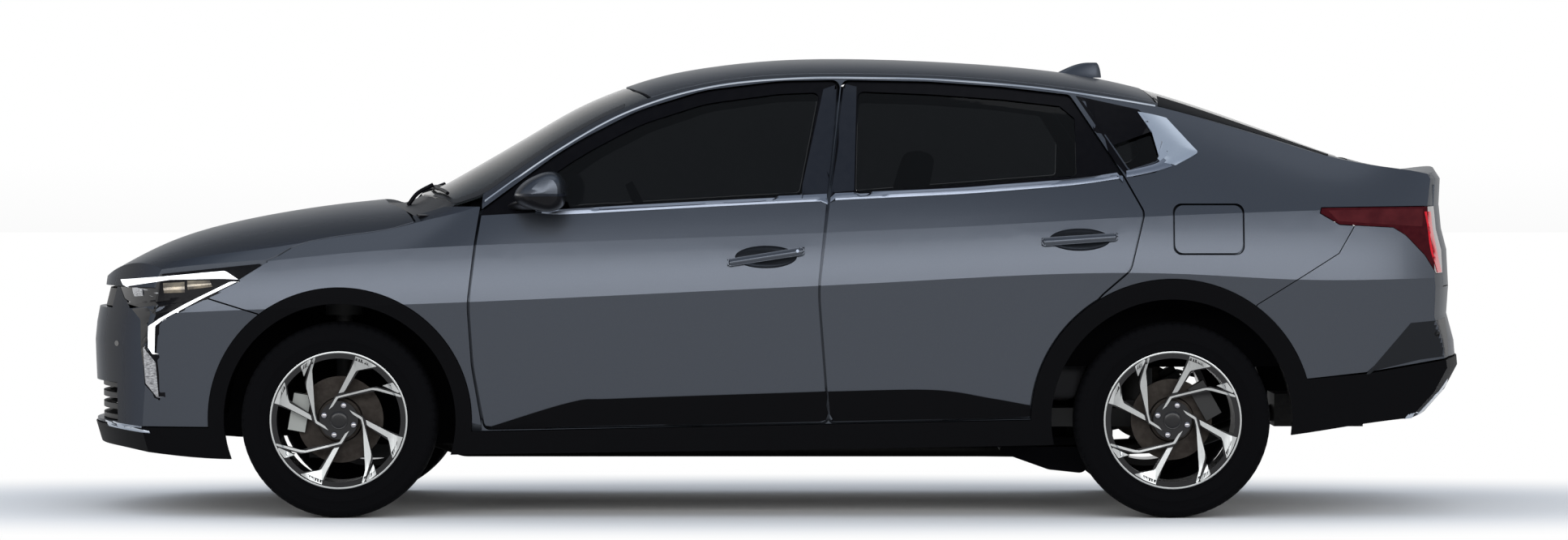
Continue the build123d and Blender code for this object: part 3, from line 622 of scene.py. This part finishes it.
def makeMirrorFoot(side):
    # Short stalk from the door up into the housing.
    toward, rows, around = sides[side], 8, 32
    foot, head = mirrorLook["foot"], mirrorLook["head"]
    names, body = doorOf("front", side)
    place = skinPoint(skinOf(*names), foot[0] / 1000, foot[1] / 1000, side)[0]
    start = abs(place.y) * 1000 - mirrorLook["footSunk"]
    turns = [2 * math.pi * n / around for n in range(around)]
    rings = []
    for k in range(rows + 1):
        t = k / rows
        x, z, wide, tall = (p + (q - p) * t for p, q in zip(foot, head))
        y = start + (mirrorLook["headAt"] - start) * t
        ring = [(x + wide * math.cos(turn), toward * y, z + tall * math.sin(turn)) for turn in turns]
        rings.append([(a / 1000, b / 1000, c / 1000) for a, b, c in ring])
    finishPiece(f"mirrorFoot_{side}", loftMesh("mirrorFoot", rings), mirrorLower, body)


pillarPlates = {"front": ((-86, 1046), (-172, 1046), (-161, 1386), (-212, 1404)),
                "rear": ((-181, 1049), (-259, 1056), (-228, 1404), (-269, 1394))}


def layPillarPlates(side):
    for end, (a, b, c, d) in pillarPlates.items():
        layDoorRibbon(f"pillarPlate_{end}_{side}", (a, b), (c, d), end, side, pillarGloss, "black_gloss",
                      lift=0.001, along=8, across=24)


for side in sides:
    layQuarterTrim(side)
    makeMirror(side)
    makeMirrorFoot(side)
    layPillarPlates(side)
print("stage: windows and mirrors")

# Lamps

dayLight = makeMaterial("dayLight", (0.9, 0.92, 0.95), 0.2)
setInputs(shaderOf(dayLight), {"Emission Color": (1, 1, 1, 1), "Emission Strength": 0.9})
addBump(dayLight, 300, 0.05, 0.0003)
lensAmber = makeMaterial("lensAmber", (0.13, 0.105, 0.075), 0.12, 0.5, 0.6)
addShade(lensAmber, 30, (0.05, 0.042, 0.034), (0.24, 0.20, 0.14), 3.0)
lensGrey = makeMaterial("lensGrey", (0.30, 0.31, 0.33), 0.15, 0.8, 0.5)
addShade(lensGrey, 90, (0.10, 0.10, 0.11), (0.50, 0.51, 0.53), 3.0, stretch=(1, 1, 3))
redLight = makeMaterial("redLight", (0.42, 0.010, 0.018), 0.2, spec=0.1)
setInputs(shaderOf(redLight), {"Emission Color": (0.8, 0.02, 0.03, 1), "Emission Strength": 0.12})
addShade(redLight, 120, (0.36, 0.008, 0.015), (0.48, 0.014, 0.022))
redSmoke = makeMaterial("redSmoke", (0.050, 0.007, 0.009), 0.1, spec=0.25, edge=dull)
addShade(redSmoke, 25, (0.040, 0.005, 0.007), (0.062, 0.009, 0.011))

lampLines = {
    "topUp": ((2144, 763), (1955, 780), (1840, 791), (1772, 797), (1730, 770)),
    "topLow": ((2128, 741), (1955, 768), (1840, 771), (1790, 772), (1752, 771)),
    "strokeUp": ((1757, 761), (1900, 691), (1990, 641), (2024, 617), (2026, 548)),
    "strokeLow": ((1728, 765), (1847, 708), (1968, 643), (2002, 619), (2006, 520)),
    "innerUp": ((2093, 739), (2052, 741)), "innerLow": ((2082, 711), (2048, 714)),
    "middleUp": ((1976, 757), (1905, 761)), "middleLow": ((1972, 725), (1903, 727)),
    "outerUp": ((1896, 766), (1822, 766)), "outerLow": ((1894, 736), (1813, 746)),
    "blackFront": ((2112, 690), (2056, 637), (2052, 535), (2040, 461), (2008, 385)),
    "blackRear": ((1783, 729), (1988, 637), (1999, 535), (1992, 461), (1990, 378)),
    "cornerRear": ((2002, 500), (1993, 380)), "cornerFront": ((2044, 552), (2036, 432)),
    "tailRear": ((-2134, 988), (-2139, 939), (-2154, 852), (-2176, 790)),
    "tailFront": ((-2108, 988), (-2117, 939), (-2127, 860), (-2153, 790)),
    "tailTop": ((-1790, 992), (-1950, 996), (-2104, 998)),
    "tailFoot": ((-1822, 958), (-1990, 946), (-2100, 940))}
dayStrip = {"lift": 0.002, "depth": 0.003, "sharp": True}
projector = {"lift": 0.001, "along": 12, "across": 8, "crown": 0.002}
lampStrips = (
    ("lampSurround", "blackRear", "blackFront", "nose", lampClear, "black_gloss",
     {"lift": 0.0007, "along": 60, "across": 6, "sharp": True}),
    ("dayLampTop", "topLow", "topUp", "nose", dayLight, "lamp_clear", dayStrip),
    ("dayLampStroke", "strokeLow", "strokeUp", "nose", dayLight, "lamp_clear", {**dayStrip, "along": 60}),
    ("projector0", "innerLow", "innerUp", "nose", lensGrey, "lamp_clear", projector),
    ("projector1", "middleLow", "middleUp", "nose", lensAmber, "lamp_clear", projector),
    ("projector2", "outerLow", "outerUp", "nose", lensAmber, "lamp_clear", projector),
    ("cornerLens", "cornerRear", "cornerFront", "nose", lensGrey, "lamp_clear",
     {"lift": 0.0015, "along": 24, "across": 10}),
    ("tailStroke", "tailFront", "tailRear", "tail", redLight, "lamp_red", {"lift": 0.0015}),
    ("tailSmoke", "tailFoot", "tailTop", "tail", redSmoke, "lamp_red", {"lift": 0.001}))


def layStrips(strips, lines, skins, side):
    for name, lower, upper, place, mat, slotName, shape in strips:
        layRibbon(f"{name}_{side}", lines[lower], lines[upper], skins[place], side, mat, "body", slotName,
                  **shape)


for side in sides:
    lampSkins = {"nose": ("headlights", "front_bumper", "hood", "grille", f"front_fender_{side}"),
                 "tail": ("tail_lights", "rear_bumper", "trunk_lid", f"side_frame_{side}")}
    layStrips(lampStrips, lampLines, lampSkins, side)
print("stage: lamps")

# Tyres

tyreShape = {
    "segments": 256, "grooveEvery": 4, "grooveDepth": 3.5, "shoulder": (62, 98.5), "shoulderReach": 295,
    "profile": ((84, 213), (88, 220), (93, 224), (95, 229), (93.5, 233), (97, 243), (99.3, 256),
                (100.4, 257.5), (100.8, 262), (99.8, 264), (99.4, 274), (98.4, 284), (97.4, 290),
                (98.0, 292), (96.6, 299), (92.5, 306.5), (86, 311.5), (78, 314.4), (66, 315.6), (60, 315.8),
                (58.5, 308.5), (52, 308.5), (50.5, 315.9), (30, 316), (28.5, 308.5), (21, 308.5),
                (19.5, 316), (0, 316))}


def turnedMesh(name, end, side, profile, segments=96, cutAt=None):
    # A shape about a wheel's axle; the profile is distance from the middle plane and radius, in mm.
    axle, toward, wide = axles[end], sides[side], len(profile)
    points, faces = [], []
    for k in range(segments):
        angle = 2 * math.pi * k / segments
        for y, r in profile:
            reach = (r - cutAt(k, y, r) if cutAt else r) / 1000
            a, b = reach * math.cos(angle), reach * math.sin(angle)
            points.append((axle + a, toward * (wheelPlane + y / 1000), axleHeight + b))
    for k in range(segments):
        n = (k + 1) % segments
        for i in range(wide - 1):
            faces.append((k * wide + i, k * wide + i + 1, n * wide + i + 1, n * wide + i))
    mesh = bpy.data.meshes.new(name)
    mesh.from_pydata(points, [], faces)
    return mesh


def grooveDepth(k, y, r):
    near, far = tyreShape["shoulder"]
    cut = k % tyreShape["grooveEvery"] == 0 and near < abs(y) < far and r > tyreShape["shoulderReach"]
    return tyreShape["grooveDepth"] if cut else 0


def makeTyre(end, side):
    half = tyreShape["profile"]
    ring = half + tuple((-y, r) for y, r in reversed(half[:-1])) + half[:1]
    mesh = turnedMesh("tyre", end, side, ring, tyreShape["segments"], grooveDepth)
    obj = finishPiece(f"roadTyre_{end}_{side}", mesh, rubber, f"{end}_wheel_{side}", 28)
    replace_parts(obj, f"tyre_{end}_{side}")


for side in sides:
    for end in ends:
        makeTyre(end, side)
print("stage: tyres")

# Wheel faces: bright facets on the black arms, lip, cap and bolts

wheelFace = {
    "wide": ((55, 207), (90, 194), (124, 174), (57, 160), (17, 91), (-1, 87), (39, 164), (49, 186)),
    "thin": ((-33, 34), (-13, 69), (-8, 76), (106, 104.5), (124, 104), (201, 82), (203, 74), (126, 95.5),
             (108, 98), (-2, 72), (-19, 45)),
    "tip": ((142, 112), (175, 122), (197, 92), (193, 88)), "quarters": 4, "proud": 0.0008,
    "lip": ((94.8, 216.5), (95.8, 217.2), (96.2, 219.5), (95.6, 222.3), (93, 222.6)),
    "cap": ((80, 29.5), (83.5, 29.2), (84.5, 28), (84.2, 26.5), (85.2, 25), (86.2, 18), (86.8, 8),
            (86.9, 0.01)),
    "hubDepth": 80, "bendAt": 90, "bendDepth": 82, "armEnd": 206, "armDepth": 92, "lipFrom": 198.5,
    "lipDepth": 95}
wheelBolts = {"count": 4, "circle": 50, "turn": 72, "radius": 11, "depth": 0.0815, "flatten": 0.75}


def faceDepth(reach):
    # Distance of the arms' outer face from the wheel's middle plane, at a distance from the axle, in mm.
    look = wheelFace
    if reach > look["lipFrom"]:
        return look["lipDepth"]
    if reach < look["bendAt"]:
        return look["hubDepth"] + (look["bendDepth"] - look["hubDepth"]) * reach / look["bendAt"]
    run = (reach - look["bendAt"]) / (look["armEnd"] - look["bendAt"])
    return look["bendDepth"] + (look["armDepth"] - look["bendDepth"]) * run


def turnedBy(a, b, turn):
    return a * math.cos(turn) - b * math.sin(turn), a * math.sin(turn) + b * math.cos(turn)


def facetMesh(name, axle, toward):
    shape = bmesh.new()
    for outline in (wheelFace["wide"], wheelFace["thin"], wheelFace["tip"]):
        for quarter in range(wheelFace["quarters"]):
            turn = 2 * math.pi * quarter / wheelFace["quarters"]
            corners = []
            for v in evenPath(outline + outline[:1], 6 * len(outline))[:-1]:
                a, b = turnedBy(v.x, v.y, turn)
                corners.append(shape.verts.new((a, 0, b)))
            shape.faces.new(corners)
    bmesh.ops.triangulate(shape, faces=shape.faces)
    bmesh.ops.subdivide_edges(shape, edges=shape.edges, cuts=3)
    for v in shape.verts:
        y = faceDepth(math.hypot(v.co.x, v.co.z)) / 1000 + wheelFace["proud"]
        v.co = Vector((axle - v.co.x / 1000, toward * (wheelPlane + y), axleHeight + v.co.z / 1000))
    mesh = bpy.data.meshes.new(name)
    shape.to_mesh(mesh)
    shape.free()
    return mesh


def dressWheel(end, side):
    body = f"{end}_wheel_{side}"
    facets = facetMesh("wheelFacets", axles[end], sides[side])
    lip = turnedMesh("wheelLip", end, side, wheelFace["lip"])
    cap = turnedMesh("wheelCap", end, side, wheelFace["cap"], 48)
    finishPiece(f"wheelFacets_{end}_{side}", facets, alloy, body, 20)
    finishPiece(f"wheelLip_{end}_{side}", lip, alloy, body)
    finishPiece(f"wheelCap_{end}_{side}", cap, rimBlack, body)


def addGroup(name, sockets):
    # An empty Geometry Nodes tree with named number inputs and one mesh output.
    tree = bpy.data.node_groups.new(name, "GeometryNodeTree")
    tree.interface.new_socket("Geometry", in_out="INPUT", socket_type="NodeSocketGeometry")
    for label, kind in sockets:
        tree.interface.new_socket(label, in_out="INPUT", socket_type=kind)
    tree.interface.new_socket("Geometry", in_out="OUTPUT", socket_type="NodeSocketGeometry")
    return tree, tree.nodes.new("NodeGroupInput"), tree.nodes.new("NodeGroupOutput")


def plainMesh(obj):
    ready = obj.evaluated_get(bpy.context.evaluated_depsgraph_get())
    return bpy.data.meshes.new_from_object(ready)


def growMesh(name, tree, values):
    # Runs a tree with its inputs set, and gives back the plain mesh.
    obj = bpy.data.objects.new(name, bpy.data.meshes.new(name))
    scene.collection.objects.link(obj)
    mod = obj.modifiers.new("grow", "NODES")
    mod.node_group = tree
    for item in tree.interface.items_tree:
        if item.in_out == "INPUT" and item.name in values:
            mod[item.identifier] = values[item.name]
    mesh = plainMesh(obj)
    bpy.data.objects.remove(obj)
    return mesh


def boltTree(mat):
    sockets = (("Count", "NodeSocketInt"), ("Circle", "NodeSocketFloat"), ("Size", "NodeSocketFloat"))
    tree, given, result = addGroup("wheelBolts", sockets)
    circle = tree.nodes.new("GeometryNodeMeshCircle")
    dome = tree.nodes.new("GeometryNodeMeshUVSphere")
    place = tree.nodes.new("GeometryNodeInstanceOnPoints")
    real = tree.nodes.new("GeometryNodeRealizeInstances")
    cover = tree.nodes.new("GeometryNodeSetMaterial")
    setInputs(dome, {"Segments": 20, "Rings": 12})
    setInputs(cover, {"Material": mat})
    joinNodes(tree, (given, "Count", circle, "Vertices"), (given, "Circle", circle, "Radius"),
              (given, "Size", dome, "Radius"), (circle, "Mesh", place, "Points"),
              (dome, "Mesh", place, "Instance"), (place, "Instances", real, "Geometry"),
              (real, "Geometry", cover, "Geometry"), (cover, "Geometry", result, "Geometry"))
    return tree


boltChrome = makeMaterial("boltChrome", (0.35, 0.34, 0.36), 0.12, 1.0)
addShade(boltChrome, 200, (0.32, 0.31, 0.33), (0.38, 0.37, 0.39))
boltShape = boltTree(boltChrome)


def setBolts(end, side):
    axle, toward, look = axles[end], sides[side], wheelBolts
    values = {"Count": look["count"], "Circle": look["circle"] / 1000, "Size": look["radius"] / 1000}
    mesh = growMesh("wheelBolts", boltShape, values)
    turn = math.radians(look["turn"])
    for v in mesh.vertices:
        a, b = turnedBy(v.co.x, v.co.y, turn)
        y = wheelPlane + look["depth"] + v.co.z * look["flatten"]
        v.co = (axle - a, toward * y, axleHeight + b)
    mesh.materials.clear()
    finishPiece(f"wheelBolts_{end}_{side}", mesh, boltChrome, f"{end}_wheel_{side}")


for side in sides:
    for end in ends:
        dressWheel(end, side)
        setBolts(end, side)
print("stage: wheel faces")

# Black printed borders of the two screens

screenBorder = {"wide": 45, "steps": 30, "probe": 0.004, "probeFrom": 0.25, "probeTo": 0.9, "least": 300,
                "spans": {"windshield": (1120, 330), "rear_window": (-1010, -1790)}}


def screenEdge(node, x, toward):
    # Outermost place across the car, in mm, at which a screen is met from above.
    step, y = screenBorder["probe"], screenBorder["probeFrom"]
    cast, down = skinOf(node).ray_cast, Vector((0, 0, -1))
    while y < screenBorder["probeTo"] and cast(Vector((x / 1000, toward * (y + step), 2.5)), down)[0]:
        y += step
    return toward * y * 1000


def layScreenBorder(node, span, side):
    toward = sides[side]
    steps = screenBorder["steps"]
    spots = [span[0] + (span[1] - span[0]) * k / steps for k in range(steps + 1)]
    edge = [(x, screenEdge(node, x, toward)) for x in spots]
    edge = [(x, y) for x, y in edge if abs(y) > screenBorder["least"]]
    inner = [(x, y - toward * screenBorder["wide"]) for x, y in edge]
    layRibbon(f"{node}Border_{side}", inner, edge, (node,), "top", noseBlack, "body", "black_gloss",
              lift=0.0008, depth=0.001, along=40, sharp=True)


for side in sides:
    for node, span in screenBorder["spans"].items():
        layScreenBorder(node, span, side)
print("stage: screen borders")

# Cowl cover, wipers, roof fin, door handles, pillar seals and lamp shelves

cowlShape = {
    "hoodEdge": ((1150, 752), (1186, 600), (1256, 350), (1298, 0), (1256, -350), (1186, -600), (1150, -752)),
    "screenEdge": ((1034, 712), (1106, 500), (1160, 250), (1180, 0), (1160, -250), (1106, -500),
                   (1034, -712)),
    "drop": 0.010, "sag": 0.012, "along": 60, "across": 8, "thick": 0.006, "hoodProbe": 0.022,
    "screenProbe": -0.012, "probeIn": 0.98}


def makeCowl():
    # Gives back the finished cover's skin, on which the wipers stand.
    look, across = cowlShape, cowlShape["across"]
    front, back = (smoothPath(toMetres(look[edge]), look["along"]) for edge in ("hoodEdge", "screenEdge"))
    hood, screen = skinOf("hood"), skinOf("windshield")
    outside = []
    for a, b in zip(front, back):
        high = skinPoint(hood, a.x + look["hoodProbe"], a.y * look["probeIn"], "top")[0].z - look["drop"]
        foot = skinPoint(screen, b.x + look["screenProbe"], b.y * look["probeIn"], "top")[0].z - look["drop"]
        for k in range(across + 1):
            t = k / across
            spot = a.lerp(b, t)
            outside.append((spot.x, spot.y, high + (foot - high) * t - look["sag"] * math.sin(math.pi * t)))
    inside = [(x, y, z - look["thick"]) for x, y, z in outside]
    mesh = sheetMesh("cowlCover", outside, inside, across + 1)
    cover = finishPiece("cowlCover", mesh, noseBlack, "body").data
    return BVHTree.FromPolygons([v.co for v in cover.vertices], [p.vertices[:] for p in cover.polygons])


wiperLook = {"blades": (((1148, 30), (1122, 300), (1062, 590)), ((1148, -64), (1118, -330), (1060, -600))),
             "pivots": ((1212, 330), (1222, -260)), "bladeLift": 0.012, "armLift": 0.024,
             "bladeRadius": 0.006, "armRadius": 0.007, "kneeAt": 0.35, "steps": 40}


def makeWipers(cover):
    screen, look = skinOf("windshield"), wiperLook
    for k, (blade, pivot) in enumerate(zip(look["blades"], look["pivots"])):
        places = [skinPoint(screen, p.x, p.y, "top") for p in smoothPath(toMetres(blade), look["steps"])]
        rest = [place + normal * look["bladeLift"] for place, normal in places]
        mesh = tubeMesh("wiperBlade", rest, look["bladeRadius"])
        finishPiece(f"wiperBlade{k}", mesh, noseBlack, "body")
        place, normal = places[look["steps"] // 2]
        foot = skinPoint(cover, pivot[0] / 1000, pivot[1] / 1000, "top")[0]
        knee = foot.lerp(place, look["kneeAt"]) + Vector((0, 0, look["armLift"]))
        arm = smoothPath((foot, knee, place + normal * look["armLift"]), 24)
        mesh = tubeMesh("wiperArm", arm, look["armRadius"])
        finishPiece(f"wiperArm{k}", mesh, blackGloss, "body")


sealShape = {"outline": ((1000, 985), (985, 1014), (900, 1062), (850, 1080), (850, 1000)),
             "across": (672, 684)}


def makePillarSeal(side):
    # Dark seal inside the foot of the front pillar.
    toward, outline = sides[side], sealShape["outline"]
    rings = [[(x / 1000, toward * y / 1000, z / 1000) for x, z in outline] for y in sealShape["across"]]
    finishPiece(f"pillarSeal_{side}", loftMesh("pillarSeal", rings), dark, "body")


finShape = {"front": (-915, -1056), "rear": (-1098, -1080), "height": (1.432, 1.483),
            "half": (0.030, 0.003), "rows": 14, "ring": 28, "tailNarrow": 0.35}


def makeFin():
    count, rows = finShape["ring"], finShape["rows"]
    rings = []
    for k in range(rows + 1):
        t = k / rows
        z = between(finShape["height"], math.sin(t * math.pi / 2))
        a = between(finShape["front"], t ** 0.9)
        b = between(finShape["rear"], t ** 1.5)
        wide = between(finShape["half"], t ** 0.7)
        ring = []
        for n in range(count):
            angle = 2 * math.pi * n / count
            along = 0.5 - 0.5 * math.cos(angle)
            y = wide * math.sin(angle) * (1 - finShape["tailNarrow"] * along)
            ring.append(((a + (b - a) * along) / 1000, y, z))
        rings.append(ring)
    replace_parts(finishPiece("roofFin", loftMesh("roofFin", rings), paint, "body", 40), "roof_fin")


handleBars = {"front": ((150, 813), (150, 835), (-98, 875), (-98, 851)),
              "rear": ((-863, 879), (-863, 904), (-1108, 920), (-1108, 897)),
              "crown": 0.005, "keyAt": (-76, 861), "keyRadius": 5}


def dressHandles(side):
    for end in ends:
        a, b, c, d = handleBars[end]
        layDoorRibbon(f"handleBar_{end}_{side}", (a, d), (b, c), end, side, paint, "paint", lift=0.0006,
                      crown=handleBars["crown"], along=36, across=8)
    names, body = doorOf("front", side)
    layDisc(f"handleKey_{side}", handleBars["keyAt"], handleBars["keyRadius"], names, side, beltMetal, body,
            "alloy", lift=0.006)


lampShelf = {"across": (0.604, 0.682), "foot": 1.007, "rearAt": (-2.151, -2.134), "deep": 0.06,
             "below": 0.004, "lidProbe": (-2.12, 0.58), "panelProbe": (-2.10, 0.70), "rows": 6}


def makeLampShelf(side):
    # Painted filler between trunk lid and quarter panel, above the tail lamp.
    toward, look = sides[side], lampShelf
    probes = (("trunk_lid", look["lidProbe"]), (f"side_frame_{side}", look["panelProbe"]))
    lid, panel = (skinPoint(skinOf(name), x, toward * y, "top")[0].z for name, (x, y) in probes)
    rings = []
    for k in range(look["rows"] + 1):
        t = k / look["rows"]
        y = toward * between(look["across"], t)
        x = between(look["rearAt"], t)
        top = between((lid, panel), t) - look["below"]
        front = x + look["deep"]
        rings.append([(x, y, look["foot"]), (x, y, top - 0.008), (x + 0.004, y, top - 0.002),
                      (x + 0.012, y, top), (front, y, top), (front, y, look["foot"])])
    finishPiece(f"lampShelf_{side}", loftMesh("lampShelf", rings), paint, "body")


makeWipers(makeCowl())
makeFin()
for side in sides:
    dressHandles(side)
    makePillarSeal(side)
    makeLampShelf(side)
print("stage: cowl, wipers, fin and handles")

# Rear corner panels, valance edges, front lip and sensors

cornerGrey = makeMaterial("cornerGrey", (0.012, 0.013, 0.015), 0.45, spec=0.2, edge=dull)
addBump(cornerGrey, 500, 0.15, 0.0005)
bumperTrim = {
    "cornerLow": ((-1925, 470), (-2091, 508), (-2196, 521)),
    "cornerHigh": ((-2062, 628), (-2111, 632), (-2200, 640)),
    "valanceLow": ((-2078, 286), (-2150, 356), (-2214, 424)),
    "valanceHigh": ((-2066, 300), (-2140, 372), (-2205, 440)),
    "lipLow": ((2022, 270), (2120, 277), (2196, 283)), "lipHigh": ((2026, 277), (2120, 292), (2212, 306)),
    "sensors": {"front": (2150, 556), "rear": (-2150, 592)}, "sensorRadius": 9}
bumperSkins = {end: (f"{end}_bumper", "lower_cladding") for end in ends}
bumperStrips = (
    ("rearCorner", "cornerLow", "cornerHigh", "rear", cornerGrey, "cladding",
     {"lift": 0.001, "sharp": True, "across": 8}),
    ("valanceEdge", "valanceLow", "valanceHigh", "rear", satinTrim, "alloy", {"lift": 0.0015}),
    ("lipEdge", "lipLow", "lipHigh", "front", satinTrim, "alloy", {"lift": 0.002, "crown": 0.001}))

for side in sides:
    layStrips(bumperStrips, bumperTrim, bumperSkins, side)
    for end, place in bumperTrim["sensors"].items():
        layDisc(f"{end}Sensor_{side}", place, bumperTrim["sensorRadius"], bumperSkins[end], side, rimBlack,
                "body", "black_gloss")
print("stage: bumpers")

# Seats

seatLook = {"voxel": 0.022, "softenSteps": 4, "pressure": 4.0, "frames": 14, "cap": 0.018, "fill": 0.7,
            "seamDepth": 0.007, "seamWidth": 0.011, "seamFacing": 0.4, "baseTop": 0.33,
            "seams": {"front_seats": (0.62, 0.74, 0.86, 0.98), "rear_seat": (0.60, 0.72, 0.84)}}


def padSeat(node, name):
    # Evens out the CAD solid, lets it swell as sewn cloth, and keeps the swelling small.
    obj = bpy.data.objects.new(name, nodes[node].data.copy())
    scene.collection.objects.link(obj)
    even = obj.modifiers.new("even", "REMESH")
    even.mode, even.voxel_size = "VOXEL", seatLook["voxel"]
    mesh = plainMesh(obj)
    obj.modifiers.remove(even)
    shape = bmesh.new()
    shape.from_mesh(mesh)
    for _ in range(seatLook["softenSteps"]):
        bmesh.ops.smooth_vert(shape, verts=shape.verts, factor=0.5, use_axis_x=True, use_axis_y=True,
                              use_axis_z=True)
    shape.to_mesh(mesh)
    shape.free()
    obj.data = mesh
    start = [v.co.copy() for v in mesh.vertices]
    pad = obj.modifiers.new("pad", "CLOTH")
    pad.settings.use_pressure = True
    pad.settings.uniform_pressure_force = seatLook["pressure"]
    pad.settings.effector_weights.gravity = 0
    pad.point_cache.frame_start = 1
    pad.point_cache.frame_end = seatLook["frames"]
    for k in range(1, seatLook["frames"] + 1):
        scene.frame_set(k)
    mesh = plainMesh(obj)
    obj.modifiers.remove(pad)
    scene.frame_set(1)
    moves = [v.co - was for v, was in zip(mesh.vertices, start)]
    most = max(move.length for move in moves)
    scale = min(1.0, seatLook["cap"] / max(most, 1e-6))
    for v, was, move in zip(mesh.vertices, start, moves):
        v.co = was if was.z < seatLook["baseTop"] else was + move * scale
    normals = [v.normal.copy() for v in mesh.vertices]
    for v, normal in zip(mesh.vertices, normals):
        if normal.x > seatLook["seamFacing"]:  # sewn channels across the backrest
            for seam in seatLook["seams"][node]:
                away = (v.co.z - seam) / seatLook["seamWidth"]
                v.co -= normal * seatLook["seamDepth"] * math.exp(-away ** 2)
    obj.data = mesh
    finer = obj.modifiers.new("round", "SUBSURF")
    finer.levels = finer.render_levels = 1
    mesh = plainMesh(obj)
    bpy.data.objects.remove(obj)
    mesh.materials.clear()
    soft = finishPiece(name, mesh, fabric, "body", 80)
    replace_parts(soft, node)


padSeat("front_seats", "frontSeatPads")
padSeat("rear_seat", "rearSeatPad")
print("stage: seats")
